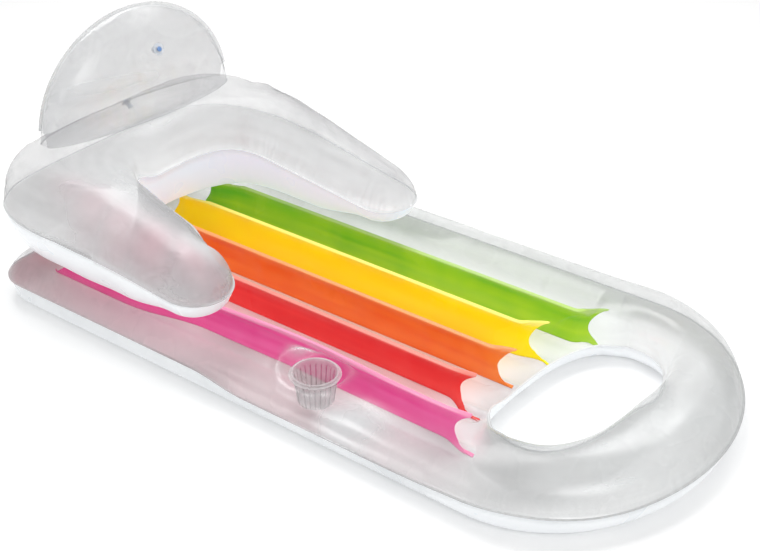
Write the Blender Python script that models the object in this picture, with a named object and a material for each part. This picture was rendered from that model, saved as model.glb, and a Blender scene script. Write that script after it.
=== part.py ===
"""An inflatable pool lounger: a ribbed base with a foot well and a drink holder, a horseshoe
back rest with two arms, and a head pillow. X is across, Y runs from the foot end to the head
end and Z is up. All lengths are in metres."""

import math

import bmesh
import bpy
from mathutils import Matrix, Vector

# Vinyl film, welds and clearances
film = 0.0004
gap = 0.0003
weld_width = 0.006

# Base outline and heights
base_length = 1.642
base_width = 0.825
head_corner_radius = 0.087
foot_curve_length = 0.335
base_seam_height = 0.0485
side_crest_height = 0.122
foot_crest_height = 0.126
top_roundover = 0.090
bottom_roundover = 0.035
side_crest_share = 0.47

# Foot well, an oval hole through the base
well_offset_x = -0.0165
well_from_foot_end = 0.3036
well_half_width = 0.2406
well_half_length = 0.1242
well_yaw_degrees = -5.0
well_squareness_share = 2.5

# Ribs: coloured webs between the two base films
rib_pitch = 0.1154
rib_band = 0.008
rib_lip = 0.006
rib_top_height = 0.083
rib_bottom_height = 0.011
channel_rise = 0.017
bottom_ramp_share = 0.17
rib_end_hollow = 0.020
rib_names = ("pink", "red", "orange", "yellow", "green")
rib_front_set_back = (0.011, 0.033, 0.012, 0.008, -0.030)
rib_rear_set_back = (0.003, 0.005, 0.005, 0.005, 0.017)

# The ribbed field, which ends behind the foot well and in front of the head end
field_behind_well = 0.034
field_side_lead = 0.045
field_bend_start = 0.120
field_bend_end = 0.250
field_rear_from_head = 0.097
field_fade = 0.030

# Drink holder, moulded, welded into the near side tube
cup_from_side = 0.0960
cup_from_foot_end = 0.7502
cup_seat_height = 0.102
cup_rim_radius = 0.0533
cup_rim_height = 0.010
cup_flange_radius = 0.0585
cup_pad_radius = 0.0600
cup_throat_radius = 0.0465
cup_foot_radius = 0.0375
cup_depth = 0.064
cup_wall = 0.0012
cup_flute_depth = 0.0022
cup_flutes = 12
cup_clear_margin = 0.0075

# Back rest, a horseshoe tube that lies on the base
backrest_overhang = 0.0486
backrest_half_width = 0.386
backrest_offset_x = -0.006
backrest_inner_half_width = 0.190
backrest_inner_length = 0.1400
backrest_outer_length = 0.3880
backrest_outer_squareness_share = 4.2
backrest_inner_squareness_share = 2.6
near_arm_length = 0.3010
far_arm_length = 0.3780
near_arm_spread = 0.310
far_arm_spread = 0.267
arm_tip_radius = 0.0825
arm_seam_height = 0.178
rear_seam_height = 0.236
arm_crest_height = 0.252
rear_crest_height = 0.364
height_ramp_length = 0.454
backrest_seat_height = 0.108
backrest_belly_share = 0.86
backrest_roundover = 0.115
press_lead = 0.120
press_ramp = 0.100

# Pillow, a half-round cushion with a lens-shaped foot on the back rest
pillow_half_width = 0.280
pillow_height = 0.265
pillow_swell = 0.040
pillow_foot_depth = 0.050
pillow_offset_x = 0.008
pillow_from_head_end = 0.078
pillow_seat_height = 0.346
pillow_yaw_degrees = -6.0
pillow_first_angle_degrees = 9.0

# Valves: a welded ring, a stem that pushes in, a plug and a check flap
ring_radius = 0.0150
ring_thickness = 0.0008
neck_outer_radius = 0.0076
neck_depth = 0.006
stem_radius = 0.0062
stem_bore = 0.0040
stem_proud = 0.0016
stem_length = 0.0200
stem_collar_radius = 0.0080
stem_collar_height = 0.0018
plug_radius = 0.0036
plug_length = 0.0090
plug_cap_radius = 0.0060
plug_cap_height = 0.0020
flap_radius = 0.0050
flap_thickness = 0.0005
valve_pad_radius = 0.0175
base_valve_from_side = 0.070
base_valve_from_head = 0.037
pillow_valve_offset_x = 0.044
pillow_valve_height_share = 0.62
backrest_valve_angle_degrees = 75.0
backrest_valve_share = 0.87

# Mesh fineness, in counts and shares
round_segments = 16
pad_segments = 16
cup_segments = 48
cup_pad_segments = 24
foot_curve_steps = 22
backrest_arc_steps = 16
pillow_columns = 18
channel_shares = (0.25, 0.75)
foot_top_shares = (0.13, 0.5, 0.87, 1)
foot_bottom_shares = (0.05, 0.2, 0.8, 0.95, 1)
cup_column_shares = (-1, -0.5, 0, 0.5, 1)
arm_tip_angles_degrees = (12, 32, 56, 90)
arm_straight_shares = (1 / 3, 2 / 3)
backrest_top_shares = (0, 0.07, 0.22, 0.42, 0.62, 0.78, backrest_valve_share, 0.95, 1)
backrest_bottom_shares = (0, 0.06, 0.22, 0.42, 0.58, 0.78, 0.94, 1)
pillow_row_shares = (0, 0.12, 0.3, 0.5, pillow_valve_height_share, 0.86, 1)
rib_height_shares = (0.8, 0.5, 0.2)
rib_length_shares = (0, 0.06, 0.94, 1)

foot_end = -(base_length + backrest_overhang) / 2
head_end = foot_end + base_length
half_width = base_width / 2
half_band = rib_band / 2
cup_x = cup_from_side - half_width
cup_y = foot_end + cup_from_foot_end
cup_reach = cup_pad_radius + cup_clear_margin
well_y = foot_end + well_from_foot_end
arc_y = head_end + backrest_overhang - backrest_outer_length
pillow_y = head_end - pillow_from_head_end
field_rear = head_end - field_rear_from_head


def smooth_step(value, low, high):
    share = min(max((value - low) / (high - low), 0), 1)
    return share * share * (3 - 2 * share)


def rounded(share):
    share = min(max(share, 0), 1)
    return math.sqrt(1 - (1 - share) ** 2)


def mix(low, high, share):
    return low + (high - low) * share


# Materials


def make_material(name, colour, roughness, alpha=1):
    material = bpy.data.materials.new(name)
    material.use_nodes = True
    shader = material.node_tree.nodes["Principled BSDF"]
    shader.inputs["Base Color"].default_value = (*colour, 1)
    shader.inputs["Roughness"].default_value = roughness
    shader.inputs["Metallic"].default_value = 0
    shader.inputs["Alpha"].default_value = alpha
    material.diffuse_color = (*colour, alpha)
    return material


# Making objects


def add_object(name, mesh, material):
    item = bpy.data.objects.new(name, mesh)
    bpy.context.scene.collection.objects.link(item)
    mesh.materials.append(material)
    return item


def sheet_object(name, bm, material, outward):
    """A film: the drawn surface is its outer face, and its thickness goes inward."""
    bmesh.ops.recalc_face_normals(bm, faces=bm.faces[:])
    bm.normal_update()
    lean = sum(face.normal.dot(outward) * face.calc_area() for face in bm.faces)
    if lean < 0:
        bmesh.ops.reverse_faces(bm, faces=bm.faces[:])
    mesh = bpy.data.meshes.new(name)
    bm.to_mesh(mesh)
    bm.free()
    mesh.shade_smooth()
    item = add_object(name, mesh, material)
    solidify = item.modifiers.new("Film", "SOLIDIFY")
    solidify.thickness = film
    solidify.offset = -1
    solidify.use_even_offset = True
    return item


def turned_object(name, profile, material, segments=round_segments, flutes=0):
    """A solid turned about Z from (radius, height, flute depth) points; it starts and ends
    on the axis, or closes on itself as a ring."""
    bm = bmesh.new()
    rings = []
    for radius, height, flute in profile:
        if radius == 0:
            rings.append([bm.verts.new((0, 0, height))])
            continue
        ring = []
        for step in range(segments):
            angle = 2 * math.pi * step / segments
            wave = (1 - math.cos(flutes * angle)) / 2
            reach = radius - flute * wave
            ring.append(bm.verts.new((reach * math.cos(angle), reach * math.sin(angle), height)))
        rings.append(ring)
    pairs = list(zip(rings, rings[1:]))
    if len(rings[0]) > 1:
        pairs.append((rings[-1], rings[0]))
    for lower, upper in pairs:
        for step in range(segments):
            after = (step + 1) % segments
            if len(lower) == 1:
                bm.faces.new((lower[0], upper[step], upper[after]))
            elif len(upper) == 1:
                bm.faces.new((lower[step], lower[after], upper[0]))
            else:
                bm.faces.new((lower[step], lower[after], upper[after], upper[step]))
    bmesh.ops.recalc_face_normals(bm, faces=bm.faces[:])
    mesh = bpy.data.meshes.new(name)
    bm.to_mesh(mesh)
    bm.free()
    mesh.shade_smooth()
    mesh.set_sharp_from_angle(angle=math.radians(35))
    return add_object(name, mesh, material)


def faces_in_box(bm, centre, reach):
    inside = []
    for face in bm.faces:
        middle = face.calc_center_median() - centre
        if max(abs(middle.x), abs(middle.y)) < reach:
            inside.append(face)
    return inside


def cut_pad(bm, faces, centre, normal, radii, segments):
    """Replace some faces by flat rings, and leave the innermost circle open."""
    open_before = {edge for edge in bm.edges if edge.is_boundary}
    bmesh.ops.delete(bm, geom=faces, context="FACES")
    border = [edge for edge in bm.edges if edge.is_boundary and edge not in open_before]
    turn = normal.to_track_quat("Z", "Y").to_matrix()
    previous = None
    for radius in radii:
        ring = []
        for step in range(segments):
            angle = 2 * math.pi * step / segments
            offset = turn @ Vector((radius * math.cos(angle), radius * math.sin(angle), 0))
            ring.append(bm.verts.new(centre + offset))
        if previous is None:
            edges = [bm.edges.new((ring[step - 1], ring[step])) for step in range(segments)]
            bmesh.ops.bridge_loops(bm, edges=border + edges)
        else:
            for step in range(segments):
                bm.faces.new((previous[step - 1], previous[step], ring[step], ring[step - 1]))
        previous = ring


# Base outline


def base_half_width(y):
    if y < foot_end + foot_curve_length:
        return half_width * rounded((y - foot_end) / foot_curve_length)
    rise = y - (head_end - head_corner_radius)
    if rise > 0:
        return half_width - head_corner_radius + math.sqrt(max(head_corner_radius ** 2 - rise ** 2, 0))
    return half_width


def outer_distance(x, y):
    """How far a point lies inside the outer weld of the base."""
    curve_y = foot_end + foot_curve_length
    if y < curve_y:
        across = x / half_width
        along = (y - curve_y) / foot_curve_length
        size = math.hypot(across, along)
        slope = math.hypot(across / half_width, along / foot_curve_length)
        return (1 - size) * size / slope if slope else foot_curve_length
    corner_x = half_width - head_corner_radius
    corner_y = head_end - head_corner_radius
    if abs(x) > corner_x and y > corner_y:
        return head_corner_radius - math.hypot(abs(x) - corner_x, y - corner_y)
    return min(half_width - abs(x), head_end - y)


def well_frame(x, y):
    yaw = math.radians(well_yaw_degrees)
    dx = x - well_offset_x
    dy = y - well_y
    return dx * math.cos(yaw) + dy * math.sin(yaw), dy * math.cos(yaw) - dx * math.sin(yaw)


def well_distance(x, y):
    """How far a point lies outside the weld round the foot well."""
    power = well_squareness_share
    along, across = well_frame(x, y)
    u = abs(along) / well_half_width
    v = abs(across) / well_half_length
    size = (u ** power + v ** power) ** (1 / power)
    slope = math.hypot(u ** (power - 1) / well_half_width, v ** (power - 1) / well_half_length)
    return (size - 1) * size ** (power - 1) / slope


def well_point(angle, inset=0):
    power = well_squareness_share
    half_x = well_half_width - inset
    half_y = well_half_length - inset
    reach = (abs(math.cos(angle) / half_x) ** power + abs(math.sin(angle) / half_y) ** power) ** (-1 / power)
    yaw = math.radians(well_yaw_degrees)
    along = reach * math.cos(angle)
    across = reach * math.sin(angle)
    return (well_offset_x + along * math.cos(yaw) - across * math.sin(yaw),
            well_y + along * math.sin(yaw) + across * math.cos(yaw))


# Ribs: where each one runs


def rib_x(index):
    return (index - (len(rib_names) - 1) / 2) * rib_pitch


def rib_edges():
    edges = []
    for index in range(len(rib_names)):
        edges += [rib_x(index) - half_band, rib_x(index) + half_band]
    return edges


def field_front(x):
    side = smooth_step(abs(x), field_bend_start, field_bend_end)
    return well_y + well_half_length + field_behind_well - field_side_lead * side


# Back rest outline in plan


def arc_reach(angle, half_x, half_y, power):
    return (abs(math.cos(angle) / half_x) ** power + abs(math.sin(angle) / half_y) ** power) ** (-1 / power)


def arc_ends(angle):
    """Inner and outer weld points of the horseshoe's arc in one direction."""
    inner = arc_reach(angle, backrest_inner_half_width, backrest_inner_length,
                      backrest_inner_squareness_share)
    outer = arc_reach(angle, backrest_half_width, backrest_outer_length,
                      backrest_outer_squareness_share)
    way = Vector((math.cos(angle), math.sin(angle)))
    outer_middle = Vector((backrest_offset_x, arc_y))
    return Vector((0, arc_y)) + way * inner, outer_middle + way * outer


def arm_stations(side):
    """Inner and outer weld points along one arm, from its tip back to the arc."""
    length = near_arm_length if side < 0 else far_arm_length
    spread = near_arm_spread if side < 0 else far_arm_spread
    tip_y = arc_y - length
    root_outer = backrest_half_width + side * backrest_offset_x
    root_half = (root_outer - backrest_inner_half_width) / 2
    root_middle = (root_outer + backrest_inner_half_width) / 2
    straight = length - arm_tip_radius
    stations = []
    for angle in arm_tip_angles_degrees:
        turn = math.radians(angle)
        stations.append((tip_y + arm_tip_radius * (1 - math.cos(turn)), math.sin(turn)))
    for share in arm_straight_shares:
        stations.append((tip_y + arm_tip_radius + straight * share, 1))
    points = []
    for y, tip_share in stations:
        share = max((y - tip_y - arm_tip_radius) / straight, 0)
        middle = mix(spread, root_middle, share)
        half = mix(arm_tip_radius, root_half, share) * tip_share
        points.append((Vector((side * (middle - half), y)), Vector((side * (middle + half), y)), tip_share))
    return points


def backrest_stations():
    """Weld points from the near arm's tip round the head end to the far arm's tip."""
    stations = arm_stations(-1)
    for step in range(backrest_arc_steps + 1):
        inner, outer = arc_ends(math.pi * (1 - step / backrest_arc_steps))
        stations.append((inner, outer, 1))
    stations += reversed(arm_stations(1))
    return stations


def arm_share(y):
    """0 at the arm tips and 1 where the back rest has its full height."""
    tip_y = arc_y - (near_arm_length + far_arm_length) / 2
    return min(max((y - tip_y) / height_ramp_length, 0), 1)


def backrest_seam(y):
    return mix(arm_seam_height, rear_seam_height, arm_share(y))


def backrest_crest(y):
    return mix(arm_crest_height, rear_crest_height, arm_share(y))


def pressed_share(x, y):
    """1 where the back rest lies over the base and presses it flat."""
    length = near_arm_length if x < 0 else far_arm_length
    start = arc_y - length - press_lead
    return smooth_step(y, start, start + press_ramp)


# Base heights


def tube_height(share):
    """Top of a side tube from the outer rib's weld, share 0, to the outer weld, share 1."""
    if share < side_crest_share:
        fall = ((side_crest_share - share) / side_crest_share) ** 2
        return side_crest_height - (side_crest_height - rib_top_height) * fall
    down = (share - side_crest_share) / (1 - side_crest_share)
    return base_seam_height + (side_crest_height - base_seam_height) * math.sqrt(max(1 - down * down, 0))


def ribbed_top(x, y):
    edges = rib_edges()
    reach = base_half_width(y)
    if x < edges[0]:
        return tube_height((edges[0] - x) / (reach + edges[0]))
    if x > edges[-1]:
        return tube_height((x - edges[-1]) / (reach - edges[-1]))
    for left, right in zip(edges[1::2], edges[2::2]):
        if left < x < right:
            share = (x - left) / (right - left)
            return rib_top_height + channel_rise * 4 * share * (1 - share)
    return rib_top_height


def smooth_top(x, y):
    crest = mix(foot_crest_height, side_crest_height, smooth_step(y, foot_end, cup_y))
    edge = min(outer_distance(x, y), well_distance(x, y))
    return base_seam_height + (crest - base_seam_height) * rounded(edge / top_roundover)


def field_share(x, y):
    front = field_front(x)
    rise = smooth_step(y, front - field_fade, front)
    return rise * (1 - smooth_step(y, field_rear, field_rear + field_fade))


def base_top(x, y):
    height = mix(smooth_top(x, y), min(ribbed_top(x, y), smooth_top(x, y)), field_share(x, y))
    low = min(height, backrest_seat_height)
    return mix(height, low, pressed_share(x, y))


def ribbed_bottom(x, y):
    edges = rib_edges()
    ramp = bottom_ramp_share * (rib_pitch - rib_band)
    nearest = min(max(left - x, x - right, 0) for left, right in zip(edges[::2], edges[1::2]))
    return rib_bottom_height * max(1 - nearest / ramp, 0)


def base_bottom(x, y):
    edge = min(outer_distance(x, y), well_distance(x, y))
    wall = base_seam_height * (1 - rounded(edge / bottom_roundover))
    return max(wall, ribbed_bottom(x, y) * field_share(x, y))


# Base films


def base_columns(tube_shares, channel_shares):
    """Each column is (left place, right place, share); places are rib edges or the outer weld."""
    last = 2 * len(rib_names) - 1
    columns = [("outer", 0, 1 - share) for share in reversed(tube_shares)]
    for index in range(last + 1):
        columns.append((index, index, 0))
        if index % 2 and index < last:
            columns += [(index, index + 1, share) for share in channel_shares]
    columns += [(last, "outer", share) for share in tube_shares]
    return columns


def column_x(column, y):
    edges = rib_edges()
    reach = base_half_width(y)
    left, right, share = column
    left_x = -reach if left == "outer" else edges[left]
    right_x = reach if right == "outer" else edges[right]
    return mix(left_x, right_x, share)


def base_film(height, way, tube_shares, channels, rows, ring_shares):
    """Ribbed field plus the ring round the foot well, with flat weld lips on both edges.
    The field's first row bends round the well, and the others run straight across."""
    bm = bmesh.new()
    columns = base_columns(tube_shares, channels)
    seam = base_seam_height + way * (gap / 2 + film)

    def vertex(x, y, on_weld):
        return bm.verts.new((x, y, seam if on_weld else height(x, y)))

    grid = []
    for row in [None] + rows:
        line = []
        for column in columns:
            y = field_front(column_x(column, well_y)) if row is None else row
            on_weld = column in (columns[0], columns[-1]) or row == head_end
            line.append(vertex(column_x(column, y), y, on_weld))
        grid.append(line)
    for low, high in zip(grid, grid[1:]):
        for step in range(len(columns) - 1):
            bm.faces.new((low[step], low[step + 1], high[step + 1], high[step]))

    outer_loop = list(grid[0])
    corner = grid[0][-1].co
    curve_y = foot_end + foot_curve_length
    start = math.asin((curve_y - corner.y) / foot_curve_length) if corner.y < curve_y else 0
    curve = []
    for step in range(1, foot_curve_steps):
        angle = mix(start, math.pi - start, step / foot_curve_steps)
        x = half_width * math.cos(angle)
        y = curve_y - foot_curve_length * math.sin(angle)
        curve.append(vertex(x, y, True))
    outer_loop += curve
    well_loop = []
    for point in outer_loop:
        along, across = well_frame(point.co.x, point.co.y)
        well_loop.append(math.atan2(across, along))
    rings = [outer_loop]
    for share in ring_shares:
        ring = []
        for point, angle in zip(outer_loop, well_loop):
            well_x, well_edge_y = well_point(angle)
            x = mix(point.co.x, well_x, share)
            y = mix(point.co.y, well_edge_y, share)
            ring.append(vertex(x, y, share == 1))
        rings.append(ring)
    lip = [bm.verts.new((*well_point(angle, weld_width), seam)) for angle in well_loop]
    rings.append(lip)
    count = len(outer_loop)
    for outside, inside in zip(rings, rings[1:]):
        for step in range(count):
            after = (step + 1) % count
            bm.faces.new((outside[step], inside[step], inside[after], outside[after]))

    rim = [line[0] for line in reversed(grid)] + list(reversed(curve)) + [line[-1] for line in grid]
    rim += list(reversed(grid[-1][1:-1]))
    add_lip(bm, rim, weld_width)
    return bm


def add_lip(bm, loop, width):
    """A flat weld lip that runs round outside a closed loop of points."""
    count = len(loop)
    lip = []
    for step, point in enumerate(loop):
        before = loop[step - 1].co
        after = loop[(step + 1) % count].co
        way = after - before
        out = Vector((way.y, -way.x, 0)).normalized()
        lip.append(out)
    area = sum(loop[step - 1].co.x * loop[step].co.y - loop[step].co.x * loop[step - 1].co.y
               for step in range(count))
    sign = 1 if area > 0 else -1
    edge = [bm.verts.new(point.co + sign * width * out) for point, out in zip(loop, lip)]
    for step in range(count):
        after = (step + 1) % count
        bm.faces.new((loop[step], edge[step], edge[after], loop[after]))


def share_across_tube(x):
    inner = rib_x(len(rib_names) - 1) + half_band
    return (x - inner) / (half_width - inner)


def top_tube_shares():
    """Columns across a side tube, set by the drink holder's seat."""
    places = [-cup_x + cup_reach * share for share in cup_column_shares]
    return [share_across_tube(place) for place in places] + [1]


def bottom_tube_shares():
    ramp_end = rib_x(len(rib_names) - 1) + half_band + bottom_ramp_share * (rib_pitch - rib_band)
    edge = half_width - bottom_roundover
    wall = half_width - bottom_roundover / 4
    return [share_across_tube(place) for place in (ramp_end, edge, wall)] + [1]


def make_base_top(material):
    press_starts = [arc_y - length - press_lead for length in (near_arm_length, far_arm_length)]
    rows = [field_front(0) + field_fade, cup_y - cup_reach, cup_y, cup_y + cup_reach]
    rows += press_starts + [start + press_ramp for start in press_starts]
    rows += [arc_y, field_rear, field_rear + field_fade]
    rows += [head_end - base_valve_from_head, head_end - base_valve_from_head / 3, head_end]
    bm = base_film(base_top, 1, top_tube_shares(), channel_shares, sorted(rows), foot_top_shares)
    seat = Vector((cup_x, cup_y, cup_seat_height))
    up = Vector((0, 0, 1))
    radii = (cup_pad_radius, (cup_throat_radius + gap) / math.cos(math.pi / cup_pad_segments))
    cut_pad(bm, faces_in_box(bm, seat, cup_reach), seat, up, radii, cup_pad_segments)
    place, normal = cut_valve_pad(bm, half_width - base_valve_from_side, head_end - base_valve_from_head)
    sheet_object("base_top_film", bm, material, up)
    return place, normal


def make_base_bottom(material):
    rows = [arc_y, field_rear, field_rear + field_fade, head_end - bottom_roundover,
            head_end - bottom_roundover / 4, head_end]
    ramps = (bottom_ramp_share, 1 - bottom_ramp_share)
    bm = base_film(base_bottom, -1, bottom_tube_shares(), ramps, sorted(rows), foot_bottom_shares)
    sheet_object("base_bottom_film", bm, material, Vector((0, 0, -1)))


def cut_valve_pad(bm, x, y):
    """Open the film at the point nearest a plan place, and say where it faces."""
    bmesh.ops.recalc_face_normals(bm, faces=bm.faces[:])
    bm.normal_update()
    nearest = min(bm.verts, key=lambda vert: math.hypot(vert.co.x - x, vert.co.y - y))
    place = nearest.co.copy()
    normal = nearest.normal.copy()
    if normal.z < 0:
        normal.negate()
    radii = (valve_pad_radius, neck_outer_radius + gap)
    cut_pad(bm, list(nearest.link_faces), place, normal, radii, pad_segments)
    return place, normal


# Ribs


def make_rib(index, colour, material):
    """A strip bent to a lip at its top and bottom, with hollow ends between its corners."""
    front = field_front(rib_x(index)) + rib_front_set_back[index]
    rear = field_rear - rib_rear_set_back[index]
    top = rib_top_height - film - gap
    bottom = rib_bottom_height + film + gap
    left = rib_x(index) - rib_lip / 2
    right = rib_x(index) + rib_lip / 2
    rows = [(right, 1), (left, 1)] + [(left, share) for share in rib_height_shares] + [(left, 0), (right, 0)]
    bm = bmesh.new()
    lines = []
    for x, height_share in rows:
        hollow = rib_end_hollow * 4 * height_share * (1 - height_share)
        height = mix(bottom, top, height_share)
        line = []
        for share in rib_length_shares:
            line.append(bm.verts.new((x, mix(front + hollow, rear - hollow, share), height)))
        lines.append(line)
    for low, high in zip(lines, lines[1:]):
        for step in range(len(low) - 1):
            bm.faces.new((low[step], low[step + 1], high[step + 1], high[step]))
    sheet_object(colour + "_rib", bm, material, Vector((-1, 0, 0)))


# Drink holder


def make_cup(material):
    lip = gap + cup_wall
    rim_inner = cup_throat_radius - cup_wall
    flute = cup_flute_depth
    floor = -cup_depth
    profile = [
        (0, floor, 0),
        (cup_foot_radius, floor, flute),
        (cup_throat_radius - gap, -cup_rim_height, flute),
        (cup_throat_radius, gap, 0),
        (cup_flange_radius, gap, 0),
        (cup_flange_radius, lip, 0),
        (cup_throat_radius + cup_wall * 2, lip, 0),
        (cup_rim_radius - cup_wall, cup_rim_height - cup_wall, 0),
        (cup_rim_radius, cup_rim_height, 0),
        (cup_rim_radius - cup_wall, cup_rim_height + cup_wall, 0),
        (cup_rim_radius - cup_wall * 3, cup_rim_height, 0),
        (rim_inner, lip, 0),
        (rim_inner - gap, -cup_rim_height, flute),
        (cup_foot_radius - cup_wall, floor + cup_wall, flute),
        (0, floor + cup_wall, 0),
    ]
    cup = turned_object("drink_holder", profile, material, cup_segments, cup_flutes)
    cup.location = (cup_x, cup_y, cup_seat_height)


# Back rest films


def backrest_film(way, column_shares):
    stations = backrest_stations()
    bm = bmesh.new()
    grid = []
    for inner, outer, tip_share in stations:
        line = []
        for share in column_shares:
            place = mix(inner, outer, share)
            height = backrest_height(place, share, (outer - inner).length, tip_share, way)
            line.append(bm.verts.new((place.x, place.y, height)))
        grid.append(line)
    for low, high in zip(grid, grid[1:]):
        for step in range(len(column_shares) - 1):
            bm.faces.new((low[step], low[step + 1], high[step + 1], high[step]))
    rim = [line[0] for line in grid] + grid[-1][1:-1] + [line[-1] for line in reversed(grid)]
    rim += list(reversed(grid[0][1:-1]))
    add_lip(bm, rim, weld_width)
    return bm


def backrest_height(place, share, width, tip_share, way):
    seam = backrest_seam(place.y)
    lip = way * (gap / 2 + film)
    if share in (0, 1) or tip_share == math.sin(math.radians(arm_tip_angles_degrees[0])):
        return seam + lip
    edge = min(share, 1 - share) * width
    swell = rounded(edge / min(backrest_roundover, width / 2)) * tip_share
    if way > 0:
        height = seam + lip + (backrest_crest(place.y) - seam) * swell
        return min(height, pillow_seat_height)
    depth = (seam - backrest_seat_height) / backrest_belly_share
    return max(seam + lip - depth * swell, backrest_seat_height + gap)


def make_backrest_top(material):
    bm = backrest_film(1, backrest_top_shares)
    inner, outer = arc_ends(math.radians(backrest_valve_angle_degrees))
    plan = mix(inner, outer, backrest_valve_share)
    place, normal = cut_valve_pad(bm, plan.x, plan.y)
    sheet_object("backrest_top_film", bm, material, Vector((0, 0, 1)))
    return place, normal


def make_backrest_bottom(material):
    bm = backrest_film(-1, backrest_bottom_shares)
    sheet_object("backrest_bottom_film", bm, material, Vector((0, 0, -1)))


# Pillow


def pillow_matrix():
    turn = Matrix.Rotation(math.radians(pillow_yaw_degrees), 4, "Z")
    return Matrix.Translation((pillow_offset_x, pillow_y, pillow_seat_height)) @ turn


def pillow_angle(column):
    first = math.radians(pillow_first_angle_degrees)
    return mix(first, math.pi - first, column / pillow_columns)


def pillow_film(way):
    """Half-round film in the pillow's own frame, with a lip round its arc and along its foot."""
    foot = 2 * (gap + film)
    bm = bmesh.new()
    lines = []
    for column in range(pillow_columns + 1):
        angle = pillow_angle(column)
        x = pillow_half_width * math.cos(angle)
        foot_y = way * pillow_foot_depth * math.sin(angle)
        line = [bm.verts.new((x, foot_y + way * weld_width, foot))]
        for share in pillow_row_shares:
            depth = mix(pillow_foot_depth, gap / 2 + film, share) + pillow_swell * 4 * share * (1 - share)
            depth = mix(gap / 2 + film, depth, math.sin(angle))
            line.append(bm.verts.new((x, way * depth, mix(foot, pillow_height * math.sin(angle), share))))
        out = Vector((math.cos(angle) / pillow_half_width, 0, math.sin(angle) / pillow_height)).normalized()
        line.append(bm.verts.new(line[-1].co + weld_width * out))
        lines.append(line)
    for low, high in zip(lines, lines[1:]):
        for step in range(len(low) - 1):
            bm.faces.new((low[step], low[step + 1], high[step + 1], high[step]))
    return bm


def make_pillow_front(material):
    frame = pillow_matrix()
    bm = pillow_film(-1)
    bmesh.ops.recalc_face_normals(bm, faces=bm.faces[:])
    bm.normal_update()
    height = pillow_valve_height_share * pillow_height
    aim_x = pillow_valve_offset_x
    nearest = min(bm.verts, key=lambda vert: math.hypot(vert.co.x - aim_x, vert.co.z - height))
    place = nearest.co.copy()
    normal = nearest.normal.copy()
    if normal.y > 0:
        normal.negate()
    radii = (valve_pad_radius, neck_outer_radius + gap)
    cut_pad(bm, list(nearest.link_faces), place, normal, radii, pad_segments)
    item = sheet_object("pillow_front_film", bm, material, Vector((0, -1, 0)))
    item.matrix_world = frame
    return frame @ place, frame.to_3x3() @ normal


def make_pillow_back(material):
    item = sheet_object("pillow_back_film", pillow_film(1), material, Vector((0, 1, 0)))
    item.matrix_world = pillow_matrix()


def make_pillow_base(material):
    """The lens-shaped foot of the pillow, flat on the back rest."""
    bm = bmesh.new()
    lines = []
    for column in range(pillow_columns + 1):
        angle = pillow_angle(column)
        x = pillow_half_width * math.cos(angle)
        reach = pillow_foot_depth * math.sin(angle) + weld_width
        lines.append([bm.verts.new((x, side * reach, gap + film)) for side in (-1, 1)])
    for low, high in zip(lines, lines[1:]):
        bm.faces.new((low[0], low[1], high[1], high[0]))
    item = sheet_object("pillow_base_film", bm, material, Vector((0, 0, 1)))
    item.matrix_world = pillow_matrix()


# Valves


def make_valve(owner, place, normal, materials):
    """Welded ring, sliding stem, plug and check flap, stacked along the outward normal."""
    frame = Matrix.Translation(place) @ normal.to_track_quat("Z", "Y").to_matrix().to_4x4()
    bore = stem_radius + gap
    ring_top = gap + ring_thickness
    ring = [
        (bore, -neck_depth, 0),
        (neck_outer_radius, -neck_depth, 0),
        (neck_outer_radius, gap, 0),
        (ring_radius, gap, 0),
        (ring_radius, ring_top, 0),
        (bore, ring_top, 0),
    ]
    turned_object(owner + "_valve_ring", ring, materials["valve"]).matrix_world = frame
    stem_top = ring_top + stem_proud
    stem_foot = stem_top - stem_length
    stem = [
        (stem_bore, stem_foot, 0),
        (stem_collar_radius, stem_foot, 0),
        (stem_collar_radius, stem_foot + stem_collar_height, 0),
        (stem_radius, stem_foot + stem_collar_height, 0),
        (stem_radius, stem_top, 0),
        (stem_bore, stem_top, 0),
    ]
    turned_object(owner + "_valve_stem", stem, materials["valve"]).matrix_world = frame
    cap_foot = stem_top + gap
    plug = [
        (0, stem_top - plug_length, 0),
        (plug_radius - gap, stem_top - plug_length, 0),
        (plug_radius, cap_foot, 0),
        (plug_cap_radius, cap_foot, 0),
        (plug_cap_radius, cap_foot + plug_cap_height / 2, 0),
        (plug_cap_radius - plug_cap_height / 4, cap_foot + plug_cap_height, 0),
        (0, cap_foot + plug_cap_height, 0),
    ]
    turned_object(owner + "_valve_plug", plug, materials["plug"]).matrix_world = frame
    flap_top = stem_foot - gap
    flap = [(0, -flap_thickness, 0), (flap_radius, -flap_thickness, 0), (flap_radius, 0, 0), (0, 0, 0)]
    item = turned_object(owner + "_valve_flap", flap, materials["valve"])
    for vert in item.data.vertices:
        vert.co.x += flap_radius
    item.matrix_world = frame @ Matrix.Translation((-flap_radius, 0, flap_top))


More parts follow.
